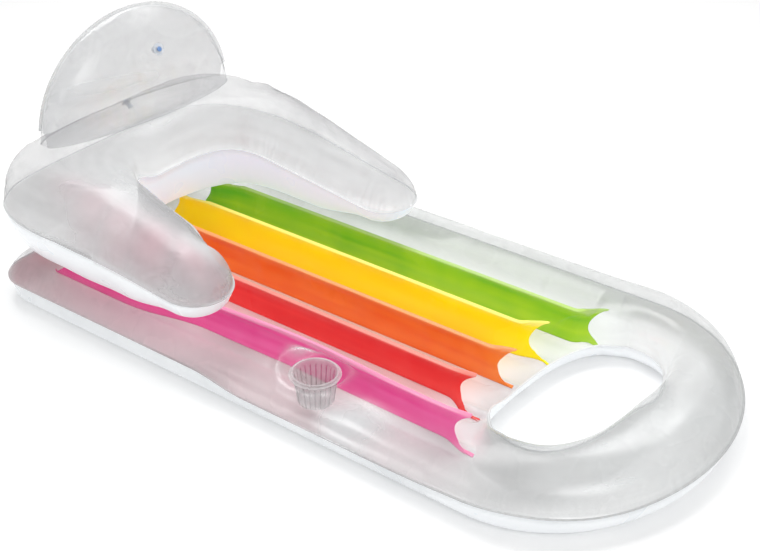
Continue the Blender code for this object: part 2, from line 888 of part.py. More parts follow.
def main():
    for item in list(bpy.data.objects):
        bpy.data.objects.remove(item, do_unlink=True)
    films = {
        "clear": make_material("clear_film", (0.82, 0.84, 0.85), 0.12, 0.35),
        "white": make_material("white_film", (0.90, 0.93, 0.94), 0.25),
    }
    rib_colours = {
        "pink": (0.83, 0.08, 0.30),
        "red": (0.80, 0.03, 0.02),
        "orange": (0.85, 0.15, 0.02),
        "yellow": (0.95, 0.66, 0.01),
        "green": (0.28, 0.56, 0.02),
    }
    valve_materials = {
        "valve": make_material("valve_vinyl", (0.80, 0.84, 0.88), 0.25, 0.6),
        "plug": make_material("plug_vinyl", (0.30, 0.45, 0.75), 0.30),
    }
    base_place, base_normal = make_base_top(films["clear"])
    make_base_bottom(films["white"])
    for index, colour in enumerate(rib_names):
        make_rib(index, colour, make_material(colour + "_film", rib_colours[colour], 0.25))
    make_cup(make_material("cup_vinyl", (0.74, 0.75, 0.74), 0.22, 0.7))
    backrest_place, backrest_normal = make_backrest_top(films["clear"])
    make_backrest_bottom(films["white"])
    pillow_place, pillow_normal = make_pillow_front(films["clear"])
    make_pillow_back(films["clear"])
    make_pillow_base(films["clear"])
    make_valve("base", base_place, base_normal, valve_materials)
    make_valve("backrest", backrest_place, backrest_normal, valve_materials)
    make_valve("pillow", pillow_place, pillow_normal, valve_materials)


main()
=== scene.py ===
import math

import bpy
import numpy as np
from mathutils import Matrix, Vector
from mathutils.kdtree import KDTree


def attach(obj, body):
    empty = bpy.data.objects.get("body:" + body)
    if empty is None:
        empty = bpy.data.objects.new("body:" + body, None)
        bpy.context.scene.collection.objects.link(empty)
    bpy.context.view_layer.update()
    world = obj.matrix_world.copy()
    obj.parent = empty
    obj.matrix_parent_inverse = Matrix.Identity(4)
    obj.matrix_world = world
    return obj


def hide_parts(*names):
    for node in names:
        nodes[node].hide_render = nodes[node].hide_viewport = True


# An inflatable pool lounger: ribbed base, horseshoe back rest, head pillow and drink holder.
# Lengths are in metres. +Y runs from the foot end to the head end, +X away from the drink holder.

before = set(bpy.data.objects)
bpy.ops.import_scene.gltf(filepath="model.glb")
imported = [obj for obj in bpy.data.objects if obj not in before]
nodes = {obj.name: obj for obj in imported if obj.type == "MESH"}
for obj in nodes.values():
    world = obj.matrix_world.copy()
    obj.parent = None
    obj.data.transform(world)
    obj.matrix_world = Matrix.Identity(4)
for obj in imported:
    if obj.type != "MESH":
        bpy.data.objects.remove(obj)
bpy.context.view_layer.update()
bpy.context.scene.cycles.transparent_max_bounces = 32  # the clear films lie several deep

film = dict(thick=0.0004, gap=0.0003)
lift = film["gap"] / 2 + film["thick"]


# small helpers

def clearSelection():
    if bpy.context.object and bpy.context.object.mode != "OBJECT":
        bpy.ops.object.mode_set(mode="OBJECT")
    bpy.ops.object.select_all(action="DESELECT")


def pickOnly(*things):
    clearSelection()
    for thing in things:
        thing.select_set(True)
    bpy.context.view_layer.objects.active = things[0]


def editMesh(piece, *steps):
    # mesh operators on the whole piece: each step is an operator and its settings
    pickOnly(piece)
    bpy.ops.object.mode_set(mode="EDIT")
    bpy.ops.mesh.select_all(action="SELECT")
    for operator, settings in steps:
        operator(**settings)
    bpy.ops.object.mode_set(mode="OBJECT")


def clampShare(value):
    return np.clip(value, 0.0, 1.0)


def smoothStep(value, low, high):
    share = clampShare((value - low) / (high - low))
    return share * share * (3 - 2 * share)


def roundUp(share):
    share = clampShare(share)
    return np.sqrt(1 - (1 - share) ** 2)


def mix(low, high, share):
    return low + (high - low) * share


def bell(value, middle, width):
    return np.exp(-((value - middle) / width) ** 2)


def blobs(x, y, *spots):
    # soft round spots: each is how strong, its middle in x and y, and its width in x and y
    return sum(strength * bell(x, middleX, widthX) * bell(y, middleY, widthY)
               for strength, middleX, middleY, widthX, widthY in spots)


def stackPoints(*parts):
    return np.stack(np.broadcast_arrays(*parts), axis=-1)


makeConsistent = (bpy.ops.mesh.normals_make_consistent, dict(inside=False))


def evenNoise(place, step, seed):
    # smooth random line through seeded values, one value every step metres
    values = np.random.RandomState(seed).uniform(-1, 1, 4096)
    spot = np.asarray(place) / step + 64.5
    cell = np.floor(spot).astype(int)
    share = spot - cell
    share = share * share * (3 - 2 * share)
    return values[cell % 4096] * (1 - share) + values[(cell + 1) % 4096] * share


def softNoise(x, y, step, seed):
    # smooth random height over a plane, from a seeded grid of values
    grid = np.random.RandomState(seed).uniform(-1, 1, (256, 256))
    u, v = np.asarray(x) / step + 40.3, np.asarray(y) / step + 40.7
    i, j = np.floor(u).astype(int), np.floor(v).astype(int)
    u, v = u - i, v - j
    u, v = u * u * (3 - 2 * u), v * v * (3 - 2 * v)
    i0, i1, j0, j1 = i % 256, (i + 1) % 256, j % 256, (j + 1) % 256
    low = grid[i0, j0] * (1 - u) + grid[i1, j0] * u
    high = grid[i0, j1] * (1 - u) + grid[i1, j1] * u
    return low * (1 - v) + high * v


def gridPiece(name, points):
    # a grid primitive whose points are moved onto the drawn surface
    rows, columns = points.shape[:2]
    clearSelection()
    bpy.ops.mesh.primitive_grid_add(x_subdivisions=columns - 1, y_subdivisions=rows - 1, size=1)
    piece = bpy.context.object
    piece.name = piece.data.name = name
    piece.data.vertices.foreach_set("co", points.reshape(-1).astype(np.float32))
    piece.data.update()
    return piece


def joinPieces(name, pieces, distance=0.00005):
    pickOnly(*pieces)
    if len(pieces) > 1:
        bpy.ops.object.join()
    piece = bpy.context.object
    piece.name = piece.data.name = name
    editMesh(piece, (bpy.ops.mesh.remove_doubles, dict(threshold=distance)),
             (bpy.ops.mesh.dissolve_degenerate, dict(threshold=distance)), makeConsistent)
    return piece


def setAttribute(piece, name, values):
    layer = piece.data.attributes.get(name) or piece.data.attributes.new(name, "FLOAT", "POINT")
    layer.data.foreach_set("value", np.asarray(values, np.float32))


def setTint(piece, colours):
    layer = piece.data.attributes.get("tint") or piece.data.attributes.new("tint", "FLOAT_COLOR", "POINT")
    whole = np.column_stack([colours, np.ones(len(colours))])
    layer.data.foreach_set("color", np.asarray(whole, np.float32).reshape(-1))


def faceOut(piece, way):
    # turn an open film over if it looks inwards: way is the direction that most of it faces
    normals = readArray(piece.data.polygons, "normal", 3)
    areas = readArray(piece.data.polygons, "area", 1)[:, 0]
    if ((normals @ np.array(way)) * areas).sum() < 0:
        editMesh(piece, (bpy.ops.mesh.flip_normals, {}))


def readArray(items, field, width):
    values = np.zeros(len(items) * width)
    items.foreach_get(field, values)
    return values.reshape(-1, width)


def readPoints(piece):
    return readArray(piece.data.vertices, "co", 3)


def writePoints(piece, points):
    piece.data.vertices.foreach_set("co", np.asarray(points, np.float32).reshape(-1))
    piece.data.update()


def pointNormals(piece):
    return readArray(piece.data.vertex_normals, "vector", 3)


def placeTree(points):
    tree = KDTree(len(points))
    for index, spot in enumerate(points):
        tree.insert(Vector(spot), index)
    tree.balance()
    return tree


def seamPlaces(points, line, closed=True):
    # for each point: how far along the seam line it lies, and how far from it
    if closed:
        line = np.vstack([line, line[:1]])
    run = np.concatenate([[0], np.cumsum(np.linalg.norm(np.diff(line, axis=0), axis=1))])
    tree = placeTree(line)
    found = [tree.find(Vector(spot)) for spot in points]
    return run[[index for _, index, _ in found]], np.array([distance for _, _, distance in found])


def setWeldAndSheen(piece, amount):
    # how white the weld or the painted highlight is, levelling off towards 1
    setAttribute(piece, "seam", 1 - np.exp(-1.3 * np.clip(amount, 0, None)))


def puckers(along, away, wave, reach, seed):
    # ridges square to a seam: sharp valleys between round backs, strongest just inside it
    ridge = evenNoise(along, wave, seed) + 0.5 * evenNoise(along, wave * 0.45, seed + 1)
    ridge = 0.4 - np.abs(ridge) ** 0.7
    own = 1 + 0.6 * evenNoise(along, wave * 1.7, seed + 2)
    return ridge * np.exp(-away / (reach * own)) * (1 - np.exp(-away / (reach * 0.12)))


def inflate(pieces, isHeld, pressure, slack, most, frames=14):
    # a cloth run under air pressure on a joined copy, whose moves the films then take
    twins = []
    for piece in pieces:
        twin = piece.copy()
        twin.data = piece.data.copy()
        bpy.context.scene.collection.objects.link(twin)
        twins.append(twin)
    pickOnly(*twins)
    if len(twins) > 1:
        bpy.ops.object.join()
    copy = bpy.context.object
    merge = (bpy.ops.mesh.remove_doubles, dict(threshold=0.0013))
    editMesh(copy, merge, *([makeConsistent] if len(twins) > 1 else []))
    start = readPoints(copy)
    held = copy.vertex_groups.new(name="held")
    held.add(np.nonzero(isHeld(start))[0].tolist(), 1.0, "REPLACE")
    air = copy.modifiers.new("air", "CLOTH")
    for setting, value in dict(
            vertex_group_mass="held", quality=5, mass=0.2, tension_stiffness=14, compression_stiffness=14,
            shear_stiffness=5, bending_stiffness=0.3, shrink_min=-slack, use_pressure=True,
            uniform_pressure_force=pressure).items():
        setattr(air.settings, setting, value)
    air.settings.effector_weights.gravity = 0
    air.point_cache.frame_start, air.point_cache.frame_end = 1, frames
    for step in range(1, frames + 1):
        bpy.context.scene.frame_set(step)
    result = copy.evaluated_get(bpy.context.evaluated_depsgraph_get()).data
    moves = readArray(result.vertices, "co", 3) - start
    size = np.linalg.norm(moves, axis=1)
    print("  air moves the film by up to", round(float(size.max()) * 1000, 1), "mm, middle",
          round(float(np.median(size)) * 1000, 1))
    moves *= np.minimum(1, most / np.maximum(size, 1e-9))[:, None]
    bpy.data.objects.remove(copy)
    bpy.context.scene.frame_set(1)
    tree = placeTree(start)
    for piece in pieces:
        points = readPoints(piece)
        writePoints(piece, points + moves[[tree.find(Vector(spot))[1] for spot in points]])


def openHole(piece, centre, normal, holeRadius, padRadius, blendRadius):
    # flatten the film round a place, take out the faces in the middle and round off the edge
    centre, normal = np.array(centre), np.array(normal)
    points = readPoints(piece)
    offset = points - centre
    height = offset @ normal
    flat = offset - np.outer(height, normal)
    radius = np.linalg.norm(flat, axis=1)
    near = (radius < blendRadius) & (np.abs(height) < 0.06)
    keep = smoothStep(radius, padRadius, blendRadius)
    points[near] -= np.outer((height * (1 - keep))[near], normal)
    writePoints(piece, points)
    pickOnly(piece)
    bpy.ops.object.mode_set(mode="EDIT")
    bpy.ops.mesh.select_all(action="DESELECT")
    bpy.ops.object.mode_set(mode="OBJECT")
    middles = readArray(piece.data.polygons, "center", 3) - centre
    inside = np.linalg.norm(middles, axis=1) < holeRadius
    piece.data.polygons.foreach_set("select", inside)
    bpy.ops.object.mode_set(mode="EDIT")
    bpy.ops.mesh.select_mode(type="FACE")
    bpy.ops.mesh.delete(type="FACE")
    bpy.ops.object.mode_set(mode="OBJECT")
    counts = {}
    for face in piece.data.polygons:
        for key in face.edge_keys:
            counts[key] = counts.get(key, 0) + 1
    for index in {index for key, used in counts.items() if used == 1 for index in key}:
        vert = piece.data.vertices[index]
        away = np.array(vert.co) - centre
        away -= (away @ normal) * normal
        size = np.linalg.norm(away)
        if size < holeRadius * 1.6:
            vert.co = centre + away / size * holeRadius
    piece.data.update()


def finishFilm(piece, outside, inside=None, thick=film["thick"]):
    # smooth shading, a second finish for the inner face, and the film's own thickness
    pickOnly(piece)
    bpy.ops.object.shade_smooth()
    piece.data.materials.clear()
    piece.data.materials.append(outside)
    piece.data.materials.append(inside or outside)
    wall = piece.modifiers.new("film", "SOLIDIFY")
    wall.thickness = thick
    wall.offset = -1
    wall.use_even_offset = True
    wall.material_offset = 1 if inside else 0
    bpy.ops.object.modifier_apply(modifier=wall.name)
    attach(piece, "lounger")
    return piece


# materials

def feed(tree, node, inputs):
    # link each input, or set it where the value is a plain one
    for key, value in inputs.items():
        if isinstance(value, bpy.types.NodeSocket):
            tree.links.new(value, node.inputs[key])
        else:
            node.inputs[key].default_value = value


def addNode(tree, kind, inputs, **settings):
    node = tree.nodes.new(kind)
    for key, value in settings.items():
        setattr(node, key, value)
    feed(tree, node, inputs)
    return node.outputs


def addMath(tree, first, second, operation="ADD", clamp=True):
    return addNode(tree, "ShaderNodeMath", {0: first, 1: second}, operation=operation, use_clamp=clamp)[0]


def addRange(tree, value, fromLow, fromHigh, toLow, toHigh):
    return addNode(tree, "ShaderNodeMapRange", {
        "Value": value, "From Min": fromLow, "From Max": fromHigh, "To Min": toLow, "To Max": toHigh})["Result"]


def addMix(tree, factor, first, second, blend="MIX"):
    # colours are sockets or three plain values
    inputs = {"Factor": factor, "A": first, "B": second}
    for key in ("A", "B"):
        if isinstance(inputs[key], tuple):
            inputs[key] = (*inputs[key], 1)
    return addNode(tree, "ShaderNodeMix", inputs, data_type="RGBA", blend_type=blend)["Result"]


def readAttribute(tree, name, output="Fac"):
    return addNode(tree, "ShaderNodeAttribute", {}, attribute_name=name)[output]


def filmCreases():
    # shallow creases and slow waves of stretched vinyl, as a height
    group = bpy.data.node_groups.new("filmCreases", "ShaderNodeTree")
    group.interface.new_socket(name="Vector", in_out="INPUT", socket_type="NodeSocketVector")
    for label, way in (("Scale", "INPUT"), ("Crease", "INPUT"), ("Height", "OUTPUT"), ("Cloud", "OUTPUT")):
        group.interface.new_socket(name=label, in_out=way, socket_type="NodeSocketFloat")
    start = addNode(group, "NodeGroupInput", {})
    slow = addNode(group, "ShaderNodeTexNoise",
                   {"Vector": start["Vector"], "Scale": start["Scale"], "Detail": 2.0})["Fac"]
    finer = addMath(group, start["Scale"], 4.3, "MULTIPLY", False)
    crease = addNode(group, "ShaderNodeTexNoise", {"Vector": start["Vector"], "Scale": finer, "Detail": 1.5},
                     noise_type="RIDGED_MULTIFRACTAL")["Fac"]
    height = addMath(group, slow, addMath(group, crease, start["Crease"], "MULTIPLY", False), "ADD", False)
    addNode(group, "NodeGroupOutput", {"Height": height, "Cloud": slow})
    return group


creasesGroup = filmCreases()


def startMaterial(name):
    material = bpy.data.materials.new(name)
    material.use_nodes = True
    return material, material.node_tree, material.node_tree.nodes["Principled BSDF"]


def addCreases(tree, shader, scale, crease, distance, strength, roughness):
    place = addNode(tree, "ShaderNodeTexCoord", {})["Object"]
    waves = addNode(tree, "ShaderNodeGroup", {"Vector": place, "Scale": scale, "Crease": crease},
                    node_tree=creasesGroup)
    bump = addNode(tree, "ShaderNodeBump", {"Strength": strength, "Distance": distance, "Height": waves["Height"]})
    dull = addRange(tree, waves["Cloud"], 0.3, 0.7, roughness - 0.05, roughness + 0.07)
    feed(tree, shader, {"Normal": bump["Normal"], "Roughness": dull})
    return waves["Cloud"]


def clearVinyl(name, low, high, faceAlpha, edgeAlpha, roughness=0.22, scale=14.0, bump=0.0006,
               crease=0.12, veiled=False, pinkWebLight=None, fluteShade=None):
    # veil says how milky the film is from place to place, seam where it is a white weld; both also carry painted
    # highlights and bands of painted shade
    material, tree, shader = startMaterial(name)
    cloud = addCreases(tree, shader, scale, crease, bump, 0.5, roughness)
    colour = addMix(tree, addRange(tree, cloud, 0.3, 0.7, 0, 1), low, high)
    # the white paint marks welds and painted highlights, the pink paint is painted light from the pink web, the dark
    # paint is painted shade in the flutes
    for attribute, paint in (("pinkWebLight", pinkWebLight), ("fluteShade", fluteShade), ("seam", veiled and weldAndSheenWhite)):
        if paint:
            colour = addMix(tree, readAttribute(tree, attribute), colour, paint)
    facing = addNode(tree, "ShaderNodeLayerWeight", {"Blend": 0.35})["Facing"]
    edge = addRange(tree, facing, 0.45, 1.0, 0.0, edgeAlpha - faceAlpha)
    body = addRange(tree, cloud, 0.25, 0.75, faceAlpha * 0.85, faceAlpha * 1.15)
    if veiled:
        body = addMath(tree, body, readAttribute(tree, "veilAndSheen"), "MULTIPLY")
    # the film covers little of what is behind it, so its gloss is made up by a higher index
    feed(tree, shader, {"Base Color": colour, "Alpha": addMath(tree, edge, body),
                        "IOR": filmIndex if veiled else 1.5})
    return material


def solidVinyl(name, low, high, roughness=0.3, scale=10.0, bump=0.0005, alpha=1.0, glow=0.0, tinted=False,
               pale=None, lit=None, specular=0.5):
    # glow stands for the light that comes through the vinyl from behind, most where lit says so
    material, tree, shader = startMaterial(name)
    cloud = addCreases(tree, shader, scale, 0.3, bump, 0.45, roughness)
    if pale:
        share = addMath(tree, addRange(tree, cloud, 0.3, 0.7, -0.2, 0.2), readAttribute(tree, "shade"))
    else:
        share = addRange(tree, cloud, 0.3, 0.7, 0, 1)
    colour = addMix(tree, share, low, high)
    if pale:
        colour = addMix(tree, readAttribute(tree, "pale"), colour, pale)
    if tinted:
        # painted light and shade: light that comes through the coloured webs tints the white film beside them, and
        # shade darkens it
        colour = addMix(tree, 1.0, colour, readAttribute(tree, "tint", "Color"), "MULTIPLY")
    strength = glow
    if lit:
        colour = addMix(tree, readAttribute(tree, "lit"), colour, lit)
        strength = addRange(tree, readAttribute(tree, "lit"), 0, 1, glow, litGlow)
    feed(tree, shader, {"Base Color": colour, "Alpha": alpha, "Specular IOR Level": specular})
    if glow:
        feed(tree, shader, {"Emission Color": colour, "Emission Strength": strength})
    return material


print("making materials")
weldAndSheenWhite = (0.86, 0.88, 0.89)
filmIndex = 2.6
litGlow = 0.80
# painted pink light, thrown from the pink web onto the back rest's clear film
pinkWebLightColour = (0.62, 0.20, 0.28)
baseClear = clearVinyl("clear vinyl, base", (0.28, 0.30, 0.30), (0.36, 0.38, 0.38), 0.15, 0.24, 0.26, veiled=True)
restClear = clearVinyl("clear vinyl, back rest", (0.26, 0.26, 0.27), (0.34, 0.34, 0.35), 0.15, 0.24, 0.46,
                       veiled=True, pinkWebLight=pinkWebLightColour)
pillowClear = clearVinyl("clear vinyl, pillow", (0.34, 0.35, 0.37), (0.42, 0.43, 0.45), 0.16, 0.26, 0.26,
                         scale=5.0, bump=0.0002, crease=0.0, veiled=True)
whiteOuter = solidVinyl("white vinyl", (0.84, 0.865, 0.885), (0.89, 0.91, 0.925), 0.30, glow=0.16)
whiteInner = solidVinyl("white vinyl, inside", (0.84, 0.84, 0.84), (0.89, 0.90, 0.90), 0.42, 6.0, glow=0.15,
                        tinted=True)
restWhite = solidVinyl("white vinyl, back rest", (0.84, 0.865, 0.885), (0.89, 0.91, 0.925), 0.30, glow=0.16,
                       lit=(0.50, 0.55, 0.62))
webTones = {  # shaded tone, lit tone, tone of the welded lip
    "pink": ((0.84, 0.035, 0.27), (0.97, 0.17, 0.45), (0.86, 0.34, 0.50)),
    "red": ((0.70, 0.012, 0.015), (0.84, 0.05, 0.04), (0.86, 0.32, 0.26)),
    "orange": ((0.80, 0.11, 0.01), (0.92, 0.24, 0.03), (0.90, 0.46, 0.22)),
    "yellow": ((1.00, 0.78, 0.00), (1.00, 0.88, 0.002), (0.94, 0.84, 0.30)),
    "green": ((0.12, 0.46, 0.015), (0.44, 0.68, 0.02), (0.52, 0.70, 0.30))}
ribMaterials = {name: solidVinyl(name + " vinyl", dark, light, 0.22, 9.0, 0.0012, 0.96, 0.15, pale=lip, specular=0.2)
                for name, (dark, light, lip) in webTones.items()}
cupMaterial = clearVinyl("milky moulded vinyl", (0.66, 0.62, 0.63), (0.80, 0.76, 0.77), 0.40, 0.80, 0.24, 30.0,
                         0.0003, fluteShade=(0.05, 0.04, 0.045))
valveMaterial = clearVinyl("moulded valve vinyl", (0.72, 0.78, 0.86), (0.82, 0.87, 0.92), 0.40, 0.8, 0.2, 60.0, 0.0001)
plugMaterial = solidVinyl("pale blue plug vinyl", (0.16, 0.30, 0.62), (0.26, 0.42, 0.74), 0.25, 60.0, 0.0001)


# base: outline, seam and well distances

base = dict(
    length=1.642, width=0.825, cornerRadius=0.087, footCurve=0.335, overhang=0.0486,
    seamHeight=0.0485, sideCrest=0.122, footCrest=0.126, topRound=0.090, bottomRound=0.035,
    wellRound=0.046, wellCrest=0.008, wellRise=0.040,
    sideCrestShare=0.47, ribTop=0.083, ribBottom=0.011, channelRise=0.017, bottomRamp=0.17,
    wellX=-0.0165, wellFromFoot=0.3036, wellHalfX=0.2406, wellHalfY=0.1242, wellYaw=-5.0, wellPower=2.5,
    frontBehindWell=0.034, frontSideLead=0.045, bendStart=0.120, bendEnd=0.250,
    rearFromHead=0.097, fade=0.030, lip=0.005)
ribs = dict(
    pitch=0.1154, band=0.008, lip=0.007, hollow=0.026, steps=25,
    names=("pink", "red", "orange", "yellow", "green"),
    frontBack=(0.011, 0.033, 0.012, 0.008, -0.030),
    rearBack=(0.003, 0.005, 0.005, 0.005, 0.017))
rest = dict(
    halfWidth=0.386, offsetX=-0.006, innerHalf=0.190, innerLength=0.140, outerLength=0.388,
    outerPower=4.2, innerPower=2.6, nearArm=0.301, farArm=0.378, nearSpread=0.310, farSpread=0.267,
    tipRadius=0.0825, armSeam=0.178, rearSeam=0.236, armCrest=0.252, rearCrest=0.364, ramp=0.454,
    seat=0.108, belly=0.86, cornerPush=0.021, roundOver=0.115, pressLead=0.120, pressRamp=0.100, lip=0.004,
    tipLift=0.025, nearDrop=0.016, nearRise=0.050, pillowSeat=0.346)
pillow = dict(
    halfWidth=0.277, height=0.256, swell=0.034, backSwell=0.018, rimRound=1.43, foot=0.064, x=0.018,
    fromHead=0.078, seat=0.346, yaw=-6.0, firstAngle=9.0, lip=0.009, footLip=0.006, columns=150, rows=48)
cup = dict(
    fromSide=0.0960, fromFoot=0.7502, seat=0.102, rim=0.0505, rimTop=0.0062, rimHeight=0.010, flange=0.0545,
    pad=0.0600, throat=0.0465, foot=0.0395, depth=0.064, wall=0.0012, flute=0.0030, flutes=12)

footEnd = -(base["length"] + base["overhang"]) / 2
headEnd = footEnd + base["length"]
halfWidth = base["width"] / 2
wellY = footEnd + base["wellFromFoot"]
arcY = headEnd + base["overhang"] - rest["outerLength"]
fieldRear = headEnd - base["rearFromHead"]
cupX = cup["fromSide"] - halfWidth
cupY = footEnd + cup["fromFoot"]
curveY = footEnd + base["footCurve"]
ribX = {name: (i - 2) * ribs["pitch"] for i, name in enumerate(ribs["names"])}
ribEdges = [ribX[name] + side * ribs["band"] / 2 for name in ribs["names"] for side in (-1, 1)]


def baseReach(y):
    y = np.asarray(y, float)
    foot = halfWidth * roundUp((y - footEnd) / base["footCurve"])
    rise = np.clip(y - (headEnd - base["cornerRadius"]), 0, None)
    corner = np.sqrt(np.clip(base["cornerRadius"] ** 2 - rise ** 2, 0, None))
    head = halfWidth - base["cornerRadius"] + corner
    return np.where(y < curveY, foot, head)


def outerDistance(x, y):
    across, along = x / halfWidth, (y - curveY) / base["footCurve"]
    size = np.hypot(across, along)
    slope = np.hypot(across / halfWidth, along / base["footCurve"]) + 1e-9
    foot = (1 - size) * size / slope
    cornerX, cornerY = halfWidth - base["cornerRadius"], headEnd - base["cornerRadius"]
    side = np.minimum(halfWidth - np.abs(x), headEnd - y)
    corner = base["cornerRadius"] - np.hypot(np.abs(x) - cornerX, y - cornerY)
    inCorner = (np.abs(x) > cornerX) & (y > cornerY)
    return np.where(y < curveY, foot, np.where(inCorner, corner, side))


def wellFrame(x, y):
    yaw = math.radians(base["wellYaw"])
    dx, dy = x - base["wellX"], y - wellY
    return dx * math.cos(yaw) + dy * math.sin(yaw), dy * math.cos(yaw) - dx * math.sin(yaw)


def wellDistance(x, y):
    power = base["wellPower"]
    along, across = wellFrame(x, y)
    u, v = np.abs(along) / base["wellHalfX"], np.abs(across) / base["wellHalfY"]
    size = (u ** power + v ** power) ** (1 / power) + 1e-9
    slope = np.hypot(u ** (power - 1) / base["wellHalfX"], v ** (power - 1) / base["wellHalfY"]) + 1e-9
    return (size - 1) * size ** (power - 1) / slope


def wellPoint(angle, inset=0.0):
    power = base["wellPower"]
    halfX, halfY = base["wellHalfX"] - inset, base["wellHalfY"] - inset
    reach = (np.abs(np.cos(angle) / halfX) ** power + np.abs(np.sin(angle) / halfY) ** power) ** (-1 / power)
    yaw = math.radians(base["wellYaw"])
    along, across = reach * np.cos(angle), reach * np.sin(angle)
    return (base["wellX"] + along * math.cos(yaw) - across * math.sin(yaw),
            wellY + along * math.sin(yaw) + across * math.cos(yaw))


def fieldFront(x):
    side = smoothStep(np.abs(x), base["bendStart"], base["bendEnd"])
    return wellY + base["wellHalfY"] + base["frontBehindWell"] - base["frontSideLead"] * side


def pressedShare(x, y):
    length = np.where(x < 0, rest["nearArm"], rest["farArm"])
    start = arcY - length - rest["pressLead"]
    return smoothStep(y, start, start + rest["pressRamp"])


def fieldShare(x, y):
    front = fieldFront(x)
    return smoothStep(y, front - base["fade"], front) * (1 - smoothStep(y, fieldRear, fieldRear + base["fade"]))


def tubeHeight(share):
    crest = base["sideCrestShare"]
    fall = ((crest - share) / crest) ** 2
    inner = base["sideCrest"] - (base["sideCrest"] - base["ribTop"]) * fall
    down = clampShare((share - crest) / (1 - crest))
    outer = base["seamHeight"] + (base["sideCrest"] - base["seamHeight"]) * np.sqrt(1 - down * down)
    return np.where(share < crest, inner, outer)


def ribbedTop(x, y):
    reach = baseReach(y)
    height = np.full(np.shape(x), base["ribTop"])
    for left, right in zip(ribEdges[1::2], ribEdges[2::2]):
        share = clampShare((x - left) / (right - left))
        height = height + base["channelRise"] * (4 * share * (1 - share)) ** 0.8
    near = tubeHeight((ribEdges[0] - x) / (reach + ribEdges[0]))
    far = tubeHeight((x - ribEdges[-1]) / (reach - ribEdges[-1]))
    return np.where(x < ribEdges[0], near, np.where(x > ribEdges[-1], far, height))


def wellLevel(x, y):
    # the weld round the foot well stands high on the near side, low on the far side
    near = -(0.81 * (x - base["wellX"]) + 0.59 * (y - wellY))
    close = 1 - smoothStep(wellDistance(x, y), 0.03, 0.07)
    return base["seamHeight"] + base["wellRise"] * smoothStep(near, -0.03, 0.10) * close


def smoothTop(x, y):
    # the ring stands a little steeper and fuller beside the foot well
    crest = mix(base["footCrest"], base["sideCrest"], smoothStep(y, footEnd, cupY))
    well = np.clip(wellDistance(x, y), 0, None)
    front = 1 - smoothStep(y, wellY - 0.02, wellY + 0.10)
    crest = crest + base["wellCrest"] * front * bell(well, 0.04, 0.05)
    rounding = roundUp(np.minimum(outerDistance(x, y) / base["topRound"],
                                  well / mix(base["topRound"], base["wellRound"], front)))
    level = wellLevel(x, y)
    return level + (crest - level) * rounding


def baseTop(x, y):
    smooth = smoothTop(x, y)
    height = mix(smooth, np.minimum(ribbedTop(x, y), smooth), fieldShare(x, y))
    low = np.minimum(height, rest["seat"])
    return mix(height, low, pressedShare(x, y))


def ribbedBottom(x):
    ramp = base["bottomRamp"] * (ribs["pitch"] - ribs["band"])
    nearest = np.full(np.shape(x), 9.0)
    for left, right in zip(ribEdges[::2], ribEdges[1::2]):
        nearest = np.minimum(nearest, np.maximum(np.maximum(left - x, x - right), 0))
    return base["ribBottom"] * np.clip(1 - nearest / ramp, 0, None)


def baseBottom(x, y):
    edge = np.minimum(outerDistance(x, y), wellDistance(x, y))
    wall = wellLevel(x, y) * (1 - roundUp(edge / base["bottomRound"]))
    return np.maximum(wall, ribbedBottom(x) * fieldShare(x, y))


# base films: a ribbed field, and a ring of rows round the foot well

mesh = dict(tubeColumns=26, channelColumns=14, rows=230, cornerRows=26, footSteps=420, rings=34)


def columnTable():
    # each column is (edge on its left, edge on its right, share between them); the outer weld is
    # edge 0 and the last, and the edges of the ribs lie between
    tube = 1 - np.cos(np.linspace(0, math.pi / 2, mesh["tubeColumns"] + 1))
    tube = 0.5 * tube + 0.5 * np.linspace(0, 1, mesh["tubeColumns"] + 1)
    last = len(ribEdges)
    columns = [(0, 1, share) for share in 1 - tube[::-1]]
    for edge in range(1, last):
        if edge > 1:
            columns.append((edge, edge, 0))
        between = [0.5] if edge % 2 else np.linspace(0, 1, mesh["channelColumns"] + 1)[1:-1]
        columns += [(edge, edge + 1, share) for share in between]
    return columns + [(last, last, 0)] + [(last, last + 1, share) for share in tube[1:]]


def columnX(columns, y):
    reach = baseReach(y)
    edges = [-reach] + [np.full(np.shape(y), edge) for edge in ribEdges] + [reach]
    return np.stack([mix(edges[left], edges[right], share) for left, right, share in columns], axis=-1)


